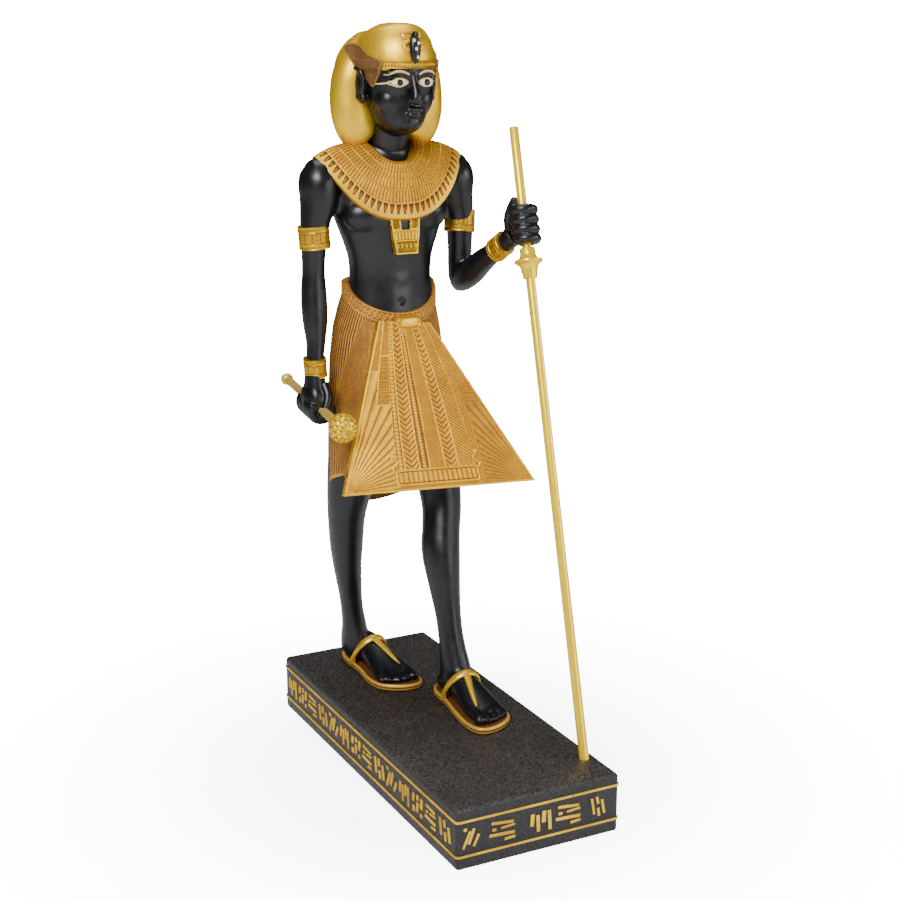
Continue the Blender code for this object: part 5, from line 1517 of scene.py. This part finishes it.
    def skirt(self, kilt: Kilt) -> Shape:
        """The cloth that runs back from the apron to the kilt."""
        top_up = self.top[0][2] - 1.0
        rings = []
        for step in range(self.skirt_rows + 1):
            up = top_up + (self.skirt_hem - top_up) * step / self.skirt_rows
            corners = []
            for start, end, side in zip(self.top, self.foot, (1.0, -1.0)):
                start, end = Vector(start), Vector(end)
                share = max(0.0, (up - start.z) / (end.z - start.z))
                inward = Vector((side * self.skirt_inset, self.thickness * 0.6, 0.0))
                corners.append(start.lerp(end, share) + inward)
            drop = (kilt.top[1] - up) / (kilt.top[1] - kilt.hem[1])
            half_width, half_depth, back = kilt.girth(min(1.0, drop))
            for side in (1.0, -1.0):
                corners.append(Vector((side * half_width * 0.985, back - half_depth * 0.12, up)))
            ring = []
            for start, end in zip(corners, corners[1:] + corners[:1]):
                ring.extend(start.lerp(end, k / self.skirt_columns) for k in range(self.skirt_columns))
            rings.append(ring)
        rings = np.array(rings)
        around, _ = ring_lengths(rings)
        tone = tubes(around * self.skirt_pleats, 0.42)
        rings = lift_rings(rings, 0.3 * (tone - 0.6))
        return loft(list(rings), list(tone * 0.8))

    def build(self, finishes: Finishes, kilt: Kilt) -> None:
        """Model and gild the apron, its serpents and the cloth behind it."""
        front = plate(self.face, self.outward(), self.thickness, *self.grid, self.pattern)
        dress(stamp(front, "apron"), finishes.apron, Crease.CARVED)
        dress(stamp(joined(self.serpents()), "apron_serpents"), finishes.plain_trim, Crease.SOFT)
        dress(stamp(self.skirt(kilt), "skirt"), finishes.kilt, Crease.CARVED)


@dataclass
class Belt:
    """Belt along the kilt's dipping top edge, stitched in zigzag rows, with a rounded buckle."""

    height: float = 5.2
    thickness: float = 1.2
    rise: float = 1.6
    inside: float = -2.0
    buckle: Row = (0.4, -16.2, 163.8, 5.8, 2.2, 2.6)
    buckle_square: float = 0.55
    buckle_points: int = 64
    buckle_layers: Rows = (
        (0.98, 0.6, 0.4), (1.0, -0.1, 0.8), (0.95, -0.75, 1.0), (0.86, -1.0, 1.0), (0.80, -0.86, 0.4),
        (0.5, -1.02, 0.9), (0.1, -1.06, 0.9))
    pitch: float = 2.3
    sides: int = 640
    rows: int = 22

    def ring(self, kilt: Kilt, drop: float, proud: float) -> np.ndarray:
        """A ring of the belt, so far below its top edge and so far out."""
        half_width, half_depth, back = kilt.girth(0.0)
        turns = round_turns(self.sides)
        up = np.array([by_side(turn, *kilt.top) for turn in turns]) + self.rise - drop
        return hoop(turns, half_width + proud, half_depth + proud, back, up)

    def buckle_shape(self) -> Shape:
        """The buckle: a rounded rectangle with a rim."""
        across, back, up, wide, deep, high = self.buckle
        outline = []
        for turn in (TURN * step / self.buckle_points for step in range(self.buckle_points)):
            outline.append([math.copysign(abs(value) ** self.buckle_square, value)
                            for value in (math.cos(turn), math.sin(turn))])
        rings = [[(across + wide * size * x, back + deep * out, up + high * size * z) for x, z in outline]
                 for size, out, _ in self.buckle_layers]
        return loft(rings, [[value] * self.buckle_points for _, _, value in self.buckle_layers])

    def build(self, finishes: Finishes, kilt: Kilt) -> None:
        """Model and gild the belt and its buckle."""
        shares = np.linspace(1.0, 0.0, self.rows)
        rings = np.stack([self.ring(kilt, self.height * share, self.thickness) for share in shares])
        around, length = ring_lengths(rings)
        share = shares[:, None]
        count = np.round(length.mean() / self.pitch)
        rims = np.maximum(ridge(share, 0.04, 0.05, 0.04), ridge(share, 0.96, 0.05, 0.04))
        high = ridge(share, 0.20 + 0.24 * zigzag(around * count), 0.06, 0.08) * (share < 0.5)
        low = ridge(share, 0.56 + 0.24 * zigzag(around * count + 0.5), 0.06, 0.08) * (share >= 0.5)
        lines = np.maximum(rims, ridge(share, 0.5, 0.03, 0.04))
        tone = np.maximum(lines, np.maximum(high, low))
        rings = lift_rings(rings, 0.28 * tone - 0.28)
        tone = 0.4 + 0.45 * tone
        inner = [self.ring(kilt, self.height * s, self.inside) for s in (1.0, 0.0)]
        flat = np.full(self.sides, 0.4)
        belt = loft([inner[0], *rings, inner[1]], [flat, *tone, flat])
        dress(stamp(belt, "belt"), finishes.kilt, Crease.CARVED)
        dress(stamp(self.buckle_shape(), "buckle"), finishes.trim)


@dataclass
class LimbBands:
    """Bands on both upper arms and wrists, with rims, level grooves and panels."""

    bands: tuple[tuple[Row, Row, float, float, float], ...] = (
        ((-33.8, 1.2, 199.4), (-0.08, 0.0, 1.0), 4.8, 6.6, 7.2),
        ((34.2, 1.8, 202.4), (0.1, 0.12, 1.0), 4.8, 6.7, 7.2),
        ((-35.6, -1.4, 145.2), (-0.1, -0.08, 1.0), 4.0, 4.9, 5.6),
        ((38.0, -28.0, 194.4), (0.15, -0.83, 0.53), 3.9, 4.9, 5.4))
    sides: int = 240
    rows: int = 30
    panels: int = 12
    grooves: Row = (-0.62, -0.5, 0.5, 0.62)

    def band(self, middle: Vector, way: Vector, half_length: float, wide: float, deep: float) -> Shape:
        """One band round a limb."""
        way = way.normalized()
        across = square_to(ACROSS, way)
        along = way.cross(across)
        shares = np.linspace(-1.0, 1.0, self.rows)
        spots = [middle + way * half_length * float(share) for share in shares]
        rings = np.array([ellipse(spot, across, along, wide, deep, self.sides) for spot in spots])
        around, _ = ring_lengths(rings)
        share = shares[:, None]
        rims = ridge(np.abs(share), 0.92, 0.07, 0.06)
        lines = np.maximum.reduce([ridge(share, at, 0.045, 0.05) for at in self.grooves])
        panel = 0.3 + 0.4 * tubes(around * self.panels, 0.16)
        panel = panel * ridge(share, 0.0, 0.4, 0.05)
        studs = tubes(around * self.panels * 4, 0.4) * ridge(np.abs(share), 0.76, 0.06, 0.05) * 0.8
        tone = np.maximum(np.maximum(rims, lines), np.maximum(panel, studs))
        rings = lift_rings(rings, 0.4 * tone - 0.4)
        ends = [[Vector(point).lerp(middle + way * half_length * s, 0.35) for point in ring]
                for s, ring in ((-1.0, rings[0]), (1.0, rings[-1]))]
        flat = np.full(self.sides, 0.7)
        return loft([ends[0], *rings, ends[1]], [flat, *tone, flat])

    def build(self, finishes: Finishes) -> None:
        """Model and gild the bands."""
        shapes = [self.band(Vector(middle), Vector(way), *sizes) for middle, way, *sizes in self.bands]
        dress(stamp(joined(shapes), "limb_bands"), finishes.bands, Crease.CARVED)


@dataclass
class Sandals:
    """Bare feet in plain sandals: a flat sole, a strap over the instep and a thong to the toes."""

    outline: Rows = (
        (0.0, 0.0), (3.0, 5.8), (12.0, 8.0), (24.0, 8.6), (37.0, 10.8), (46.0, 9.4), (51.4, 3.8),
        (53.8, -3.0), (52.0, -8.4), (44.0, -10.6), (32.0, -9.8), (20.0, -8.2), (9.0, -7.8), (2.6, -5.4))
    points: int = 112
    layers: Rows = (
        (0.0, 0.5, 0.2), (0.45, 0.1, 0.9), (0.95, 0.0, 0.9), (1.15, 0.35, 0.1), (1.55, 0.35, 0.1),
        (1.8, 0.0, 0.9), (2.35, 0.05, 1.0), (2.8, 0.35, 1.0), (2.85, 0.9, 0.8), (2.35, 1.3, 0.2),
        (2.25, 1.9, 0.2))
    places: Rows = ((12.9, -24.0, math.radians(-1.5), 1.0), (-7.4, 31.6, math.radians(4.2), -1.0))
    instep: Rows = (
        (7.0, -0.4, 6.4, 6.2, 4.6), (14.0, -0.4, 8.6, 6.4, 6.8), (22.0, -0.2, 8.2, 6.6, 6.4),
        (30.0, 0.0, 6.8, 7.6, 4.8), (38.0, 0.0, 5.4, 8.4, 3.4), (43.0, 0.0, 4.6, 8.4, 2.4))
    heel: Row = (6.6, 0.0, 6.4, 5.8, 5.6, 4.8)
    toes: Rows = ((-6.0, 50.6, 2.3), (-1.9, 50.4, 1.75), (1.6, 49.4, 1.65), (4.8, 47.8, 1.6),
                             (7.8, 45.6, 1.5))
    toe_root: float = 38.0
    toe_joints: Rows = ((5.0, 2.6, 0.95), (2.0, 2.2, 1.05), (0.0, 2.0, 0.55))
    strap_forward: float = 23.5
    strap_top: float = 15.4
    strap_reach: float = 8.0
    strap_width: float = 1.9
    strap_foot: float = 2.2
    strap_slant: float = 6.5
    strap_steps: int = 24
    thong: Rows = ((33.0, -2.2, 10.8), (42.0, -3.9, 6.2))

    def place(self, foot: Row) -> Matrix:
        """Place of a foot: forward, outward and up, as the figure's drawing has them."""
        across, back, turn, side = foot
        ahead = Matrix(((0, side, 0, 0), (-1, 0, 0, 0), (0, 0, 1, 0), (0, 0, 0, 1)))
        return Matrix.Translation((across, back, 0.0)) @ (Matrix.Rotation(turn, 4, "Z") @ ahead)

    def feet(self) -> list[Shape]:
        """Heels, insteps and toes of both feet, for the skin."""
        shapes = []
        for foot in self.places:
            matrix = self.place(foot)
            instep = [(*(matrix @ Vector(row[:3])), *row[3:]) for row in self.instep]
            shapes.append(limb(instep, sides=28))
            shapes.append(mass((*(matrix @ Vector(self.heel[:3])), *self.heel[3:])))
            for outward, tip, radius in self.toes:
                joints = [(self.toe_root, radius + 3.0, 1.0)]
                joints.extend((tip - short, radius + up, slim) for short, up, slim in self.toe_joints)
                rows = [(*(matrix @ Vector((forward, outward, up))), radius * slim, radius * slim)
                        for forward, up, slim in joints]
                shapes.append(limb(rows, sides=16))
        return shapes

    def sole(self, foot: Row) -> Shape:
        """A sole with gilt edge lines and a raised rim."""
        matrix = self.place(foot)
        closed = self.outline[-2:] + self.outline + self.outline[:3]
        steps = self.points // len(self.outline)
        smooth = blend_rows([(*point, 0.0) for point in closed], steps)[2 * steps:2 * steps + self.points]
        rings, tone = [], []
        for up, inset, value in self.layers:
            ring = []
            for index, point in enumerate(smooth):
                way = (smooth[(index + 1) % self.points] - smooth[index - 1]).normalized()
                ring.append(matrix @ (point + Vector((way.y, -way.x, 0.0)) * inset + UPWARD * up))
            rings.append(ring)
            tone.append([value] * self.points)
        return loft(rings, tone)

    def strap(self, foot: Row) -> list[Shape]:
        """The instep strap and the thong of one foot."""
        matrix = self.place(foot)
        arch = []
        for step in range(self.strap_steps + 1):
            turn = math.pi * step / self.strap_steps
            rise = math.sin(turn)
            up = self.strap_foot + (self.strap_top - self.strap_foot) * rise ** 0.8
            forward = self.strap_forward - self.strap_slant * (1.0 - rise)
            point = matrix @ Vector((forward, -self.strap_reach * math.cos(turn), up))
            arch.append((*point, 1.0, self.strap_width * (0.7 + 0.3 * rise)))
        way = matrix.to_3x3() @ Vector((0.4, 0.0, 1.0))
        top = matrix @ Vector((self.strap_forward, 0.0, self.strap_top - 0.2))
        middle, toe = (matrix @ Vector(row) for row in self.thong)
        rows = [(*top, 1.7, 0.8), (*middle, 1.2, 0.8), (*toe, 0.6, 0.7)]
        return [limb(arch, sides=24, steps=1, hint=way), limb(rows, sides=20, steps=8)]

    def build(self, finishes: Finishes) -> None:
        """Model and gild the sandals."""
        soles = joined(self.sole(foot) for foot in self.places)
        dress(stamp(soles, "sandal_soles"), finishes.kilt, Crease.CARVED)
        straps = joined(shape for foot in self.places for shape in self.strap(foot))
        dress(stamp(straps, "sandal_straps"), finishes.plain_trim, Crease.SOFT)


# What stands on its own


@dataclass
class Plinth:
    """Long rounded block with two gilt lines and, round its sides, gilt strokes that spell nothing."""

    width: float = 72.0
    length: float = 173.8
    height: float = PLINTH_HEIGHT
    rounding: float = 1.6
    lines: Row = (5.9, 20.3)
    line_width: float = 0.9
    line_relief: float = 0.35
    sign_middle: float = 13.1
    sign_relief: float = 0.3
    stroke_rounding: float = 0.12
    sets: tuple[Rows, ...] = (
        ((-2.5, 0.9, 1.0, 5.0, 0.06), (-0.9, -0.9, 0.9, 7.0, -0.05), (0.7, 1.4, 1.1, 4.8, 0.07),
         (2.3, -0.5, 0.9, 8.2, -0.06)),
        ((-0.3, 3.2, 5.0, 1.2, 0.10), (0.9, 1.2, 3.2, 0.9, -0.06), (-0.4, -1.5, 5.8, 1.3, 0.05),
         (1.4, -3.8, 2.4, 1.1, -0.08), (-2.2, 0.9, 0.9, 1.2, 0.0)),
        ((-1.9, -0.6, 1.0, 7.4, 0.42), (0.1, 0.6, 1.2, 6.6, 0.36), (2.2, -1.4, 1.0, 5.2, 0.46),
         (-2.5, 3.8, 1.3, 1.3, 0.2)),
        ((-2.3, 1.9, 1.2, 3.4, 0.14), (-2.1, -2.8, 1.4, 2.4, -0.1), (0.1, 3.0, 1.1, 2.2, -0.16),
         (0.0, -1.2, 1.2, 4.2, 0.1), (2.3, 1.7, 1.3, 4.4, 0.12), (2.2, -3.3, 1.1, 1.6, 0.0)),
        ((-2.3, 0.4, 1.0, 7.0, -0.18), (-0.3, 2.6, 1.2, 3.2, -0.22), (0.3, -2.4, 1.1, 3.6, -0.15),
         (2.3, -0.4, 1.1, 6.2, -0.2)))
    short_side: Rows = (
        (-29.9, 1.0, 2), (-15.8, 1.9, 1), (0.7, 1.6, 0), (13.4, 1.9, 1), (26.3, 1.0, 4))
    long_side_sets: int = 14
    long_side_pitch: float = 11.9
    long_side_spread: float = 1.55

    def box(self, size: Row, spot: Row, turn: Matrix = Matrix.Identity(4)) -> Shape:
        """A plain box in the part's frame, from millimetres."""
        bm = bmesh.new()
        matrix = Matrix.Translation(Vector(spot) * MM) @ turn @ Matrix.Diagonal((*(Vector(size) * MM), 1.0))
        bmesh.ops.create_cube(bm, size=1.0, matrix=matrix)
        return bm

    def round_off(self, bm: Shape, edges: Edges, radius: float, steps: int) -> None:
        """Round some edges of a box."""
        bmesh.ops.bevel(bm, geom=edges, offset=radius * MM, offset_type="OFFSET", segments=steps, profile=0.5,
                        affect="EDGES", material=-1)

    def block(self) -> Shape:
        """The block with its rounded edges."""
        bm = self.box((self.width, self.length, self.height), (0.0, 0.0, self.height / 2.0))
        self.round_off(bm, bm.edges[:], self.rounding, 4)
        return bm

    def line(self, up: float) -> Shape:
        """A line all round the block."""
        proud = 2.0 * self.line_relief
        bm = self.box((self.width + proud, self.length + proud, self.line_width), (0.0, 0.0, up))
        upright = [edge for edge in bm.edges
                   if abs(edge.verts[0].co.z - edge.verts[1].co.z) > 0.5 * MM * self.line_width]
        self.round_off(bm, upright, self.rounding, 4)
        return bm

    def strokes(self) -> list[Shape]:
        """Sets of uneven strokes round the band."""
        middle = (self.long_side_sets - 1) / 2.0
        long_side = [((index - middle) * self.long_side_pitch, self.long_side_spread,
                      3 * index % len(self.sets)) for index in range(self.long_side_sets)]
        long_row, short_row = (long_side, self.width / 2.0), (self.short_side, self.length / 2.0)
        shapes = []
        for (row, half), quarter in ((long_row, 0.5), (short_row, 0.0), (long_row, 1.5), (short_row, 1.0)):
            turn = Matrix.Rotation(math.pi * quarter, 4, "Z")
            for along, spread, choice in row:
                for x, z, wide, tall, slant in self.sets[choice]:
                    spot = turn @ Vector((along + x * spread, -half, self.sign_middle + z))
                    tilt = turn @ Matrix.Rotation(slant, 4, "Y")
                    bm = self.box((wide * spread, 2.0 * self.sign_relief, tall), spot, tilt)
                    self.round_off(bm, bm.edges[:], self.stroke_rounding, 2)
                    shapes.append(bm)
        return shapes

    def build(self, finishes: Finishes) -> None:
        """Model and paint the plinth."""
        block = dress(stamp(self.block(), "plinth_block"), finishes.plinth, Crease.BOXED, Slot.PLINTH)
        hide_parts("plinth")
        lines = joined(self.line(up) for up in self.lines)
        for name, shape in (("plinth_lines", lines), ("plinth_strokes", joined(self.strokes()))):
            dress(stamp(shape, name), finishes.line, Crease.BOXED, Slot.PLINTH)


@dataclass(frozen=True)
class Rod:
    """A rod in a hand: where it is gripped and which way it runs, in the drawing."""

    grip: Vector
    way: Vector

    def place(self, origin: Optional[Vector] = None) -> Matrix:
        """Matrix from a turned profile in millimetres to the part's frame."""
        start = origin if origin is not None else FIGURE @ self.grip
        turn = UPWARD.rotation_difference(self.way).to_matrix().to_4x4()
        return Matrix.Translation(start) @ turn @ Matrix.Scale(MM, 4)


def turned(profile: Sequence[Row], place: Matrix, steps: int = 64) -> Shape:
    """Spin a profile of radius and height about its own axis.

    Args:
        profile: its points, top to bottom, from axis to axis.
        place: matrix to the part's frame.
        steps: facets round the axis.

    Returns:
        The closed bmesh.
    """
    bm = bmesh.new()
    verts = [bm.verts.new((radius, 0.0, height)) for radius, height in profile]
    edges = [bm.edges.new(pair) for pair in zip(verts, verts[1:])]
    bmesh.ops.spin(bm, geom=verts + edges, cent=(0.0, 0.0, 0.0), axis=UPWARD, angle=TURN, steps=steps,
                   use_merge=True)
    bmesh.ops.remove_doubles(bm, verts=bm.verts, dist=1e-4)
    return put(bm, place)


@dataclass
class Staff:
    """Plain rod through the left hand, with a sleeve, a flange and a collet under the hand."""

    grip: Row = (40.0, -44.7, 205.0)
    radius: float = 2.0
    foot: Row = (30.8, -68.9, PLINTH_HEIGHT)
    socket: float = 4.0
    above: float = 40.8
    sleeve: float = 3.25
    sleeve_top: float = 9.4
    flange: float = 5.9
    flange_drop: float = 14.2
    flange_thick: float = 1.3
    collet: float = 3.4
    collet_end: float = 21.8

    @property
    def rod(self) -> Rod:
        """Where the hand holds the staff and which way the staff runs."""
        grip = Vector(self.grip)
        return Rod(grip, (FIGURE @ grip - Vector(self.foot) * MM).normalized())

    def profile(self, hand: float) -> Rows:
        """Radius and height from the top to the foot, with the hand so far up the staff."""
        r, sleeve, collet = self.radius, self.sleeve, self.collet
        top, cuff, end = hand + self.above, hand - self.sleeve_top, hand - self.collet_end
        flange = hand - self.flange_drop
        under = flange - self.flange_thick
        return (
            (0.0, top), (r - 0.5, top), (r - 0.15, top - 0.15), (r, top - 0.5), (r, cuff),
            (sleeve - 0.2, cuff), (sleeve, cuff - 0.3), (sleeve, flange + 2.2), (sleeve + 0.35, flange + 1.2),
            (sleeve + 0.9, flange + 0.5), (self.flange - 0.3, flange), (self.flange, flange - 0.3),
            (self.flange, under + 0.3), (self.flange - 0.3, under), (collet + 1.2, under - 0.6),
            (collet + 0.4, under - 1.6), (collet, under - 3.2), (collet - 0.5, end),
            (collet - 0.8, end - 0.2), (r, end - 0.25), (r, -self.socket), (0.0, -self.socket))

    def build(self, finishes: Finishes) -> None:
        """Turn and gild the staff."""
        foot = Vector(self.foot) * MM
        profile = self.profile((FIGURE @ Vector(self.grip) - foot).length / MM)
        piece = stamp(turned(profile, self.rod.place(foot)), "staff_rod")
        dress(piece, finishes.staff, Crease.TURNED, Slot.STAFF)
        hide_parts("staff")


@dataclass
class Mace:
    """Short rod through the right fist, with a leafed ball in front and a ringed knob behind."""

    grip: Row = (-35.6, -1.5, 128.9)
    dip: float = math.radians(8.0)
    shaft: float = 1.9
    ball: float = 6.2
    reach: float = 28.4
    knob: float = 2.8
    butt: float = 33.4
    knob_steps: int = 16
    knob_rings: float = 3.0
    knob_wave: float = 0.16
    ball_rows: int = 80
    ball_sides: int = 180
    leaf_rows: float = 7.0
    leaves: float = 12.0

    @property
    def rod(self) -> Rod:
        """Where the fist holds the mace and which way its head points."""
        return Rod(Vector(self.grip), Vector((0.0, -math.cos(self.dip), -math.sin(self.dip))))

    def head(self) -> Shape:
        """The ball, covered with rows of overlapping leaves."""
        first, last = math.asin(self.shaft / self.ball), math.pi - 0.06
        shares = np.linspace(0.0, 1.0, self.ball_rows)
        turns = round_turns(self.ball_sides)
        rings = []
        for polar in first + (last - first) * shares:
            girth = self.ball * math.sin(polar)
            rings.append(hoop(turns, girth, girth, 0.0, self.reach - self.ball * math.cos(polar)))
        level = shares[:, None] * self.leaf_rows
        row = np.floor(level)
        leaf = (turns[None, :] / TURN * self.leaves + 0.5 * (row % 2.0)) % 1.0 - 0.5
        along = level - row
        outline = 0.5 * np.sqrt(np.clip(1.0 - (along - 0.05) ** 2, 0.0, 1.0))
        tone = np.clip((outline - np.abs(leaf)) / 0.14, 0.0, 1.0) * (0.55 + 0.45 * (1.0 - along))
        rings = lift_rings(np.stack(rings), 0.4 * tone - 0.4)
        return loft(list(rings), list(0.3 + 0.7 * tone), self.rod.place())

    def profile(self) -> list[Row]:
        """Radius and height of the shaft and its ringed knob."""
        start, neck = self.reach - self.ball * 0.7, self.reach - self.ball
        ring = self.shaft + 0.35
        points = [(0.0, start), (self.shaft, start - 0.1), (self.shaft, neck - 1.2), (ring, neck - 1.4),
                  (ring, neck - 2.2), (self.shaft, neck - 2.4)]
        first, steps, wave = math.asin(self.shaft / self.knob), self.knob_steps, self.knob_wave
        for step in range(steps):
            turn = first + (math.pi - first) * step / steps
            size = self.knob * math.sin(turn)
            if 2 < step < steps - 2:
                size += wave * math.cos(self.knob_rings * TURN * step / steps) - wave
            points.append((size, -self.butt + self.knob * math.cos(turn)))
        points.append((0.0, -self.butt - self.knob))
        return points

    def build(self, finishes: Finishes) -> None:
        """Turn and gild the mace."""
        shaft = stamp(turned(self.profile(), self.rod.place()), "mace_shaft")
        dress(shaft, finishes.shaft, Crease.TURNED, Slot.MACE)
        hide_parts("mace")
        dress(stamp(self.head(), "mace_ball"), finishes.mace, Crease.PLEATED, Slot.MACE)


# The studio


@dataclass
class Studio:
    """Pale floor, soft lights and the camera."""

    azimuth: float = -27.079
    camera: Row = (-291.3, -580.8, 312.0)
    tilt: float = 14.810
    lens: float = 65.44
    sensor: float = 36.0
    # glow: distances from the piece in metres and the glow to the camera at each; the weaker glow near the
    # piece paints a soft shade round it
    glow: Row = (0.06, 0.34, 6.0, 24.0)
    ambient: float = 0.06
    aim: Row = (0.0, 0.02, 0.15)
    lights: tuple[tuple[str, Row, float, float], ...] = (
        ("key", (-0.80, -0.75, 1.00), 0.60, 27.0), ("fill", (1.0, -0.6, 0.5), 0.5, 5.0),
        ("front", (0.55, -1.2, 0.32), 0.6, 5.0), ("top", (0.05, 0.25, 1.3), 0.8, 9.0))

    def light(self, name: str, spot: Row, size: float, power: float) -> None:
        """A soft square light, aimed at the piece."""
        data = bpy.data.lights.new(name, "AREA")
        data.shape = "SQUARE"
        data.size = size
        data.energy = power
        lamp = new_object(name, data)
        lamp.location = spot
        lamp.rotation_euler = (Vector(self.aim) - Vector(spot)).to_track_quat("-Z", "Y").to_euler()

    def floor(self) -> None:
        """A wide pale floor that glows to the camera, dimmer near the piece: a painted soft shade round it.
        """
        bm = bmesh.new()
        bmesh.ops.create_grid(bm, x_segments=1, y_segments=1, size=6.0)
        floor = stamp(bm, "floor")
        material, web, place = new_material("pale_floor")
        seen = web.add("ShaderNodeLightPath").outputs["Is Camera Ray"]
        away = web.add("ShaderNodeVectorMath", {"operation": "LENGTH"}, i0=place).outputs["Value"]
        colour = web.mix(web.noise(place, 3.0), (0.86, 0.86, 0.865, 1.0), (0.90, 0.90, 0.90, 1.0))
        # Painted light: the floor glows to the camera, less near the piece, as a painted shade round it.
        web.paint(Base_Color=colour, Emission_Strength=web.math("MULTIPLY", seen, web.span(away, *self.glow)),
                  Emission_Color=PLAIN_WHITE, Roughness=0.9, Specular_IOR_Level=0.1)
        floor.data.materials.append(material)

    def world(self) -> None:
        """White surroundings, much dimmer to the piece than to the camera."""
        world = bpy.data.worlds.new("studio")
        world.use_nodes = True
        web = Web(world.node_tree)
        seen = web.add("ShaderNodeLightPath").outputs["Is Camera Ray"]
        web.feed(world.node_tree.nodes["Background"], Color=PLAIN_WHITE,
                 Strength=web.span(seen, 0.0, 1.0, self.ambient, self.glow[3]))
        bpy.context.scene.world = world

    def build(self) -> None:
        """Light the piece and place the camera."""
        self.floor()
        self.world()
        for light in self.lights:
            self.light(*light)
        data = bpy.data.cameras.new("camera")
        data.lens = self.lens
        data.sensor_width = self.sensor
        data.clip_start = 0.01
        camera = new_object("camera", data)
        camera.location = Vector(self.camera) * MM
        camera.rotation_euler = (math.radians(90.0 - self.tilt), 0.0, math.radians(self.azimuth))
        bpy.context.scene.camera = camera


def main() -> None:
    """Build the figure's pieces in order, then the studio."""
    logging.basicConfig(level=logging.INFO, format="%(name)s: %(message)s")
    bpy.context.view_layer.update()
    finishes = make_finishes()
    staff, mace, sandals, kilt = Staff(), Mace(), Sandals(), Kilt()
    Plinth().build(finishes)
    Skin().build(finishes, sandals)
    Hands().build(finishes, staff, mace)
    Head().build(finishes)
    cloth = HeadCloth().build(finishes)
    Serpent().build(finishes, cloth)
    Collar().build(finishes)
    Pectoral().build(finishes)
    kilt.build(finishes)
    Apron().build(finishes, kilt)
    Belt().build(finishes, kilt)
    LimbBands().build(finishes)
    sandals.build(finishes)
    staff.build(finishes)
    mace.build(finishes)
    Studio().build()


if __name__ == "__main__":
    main()
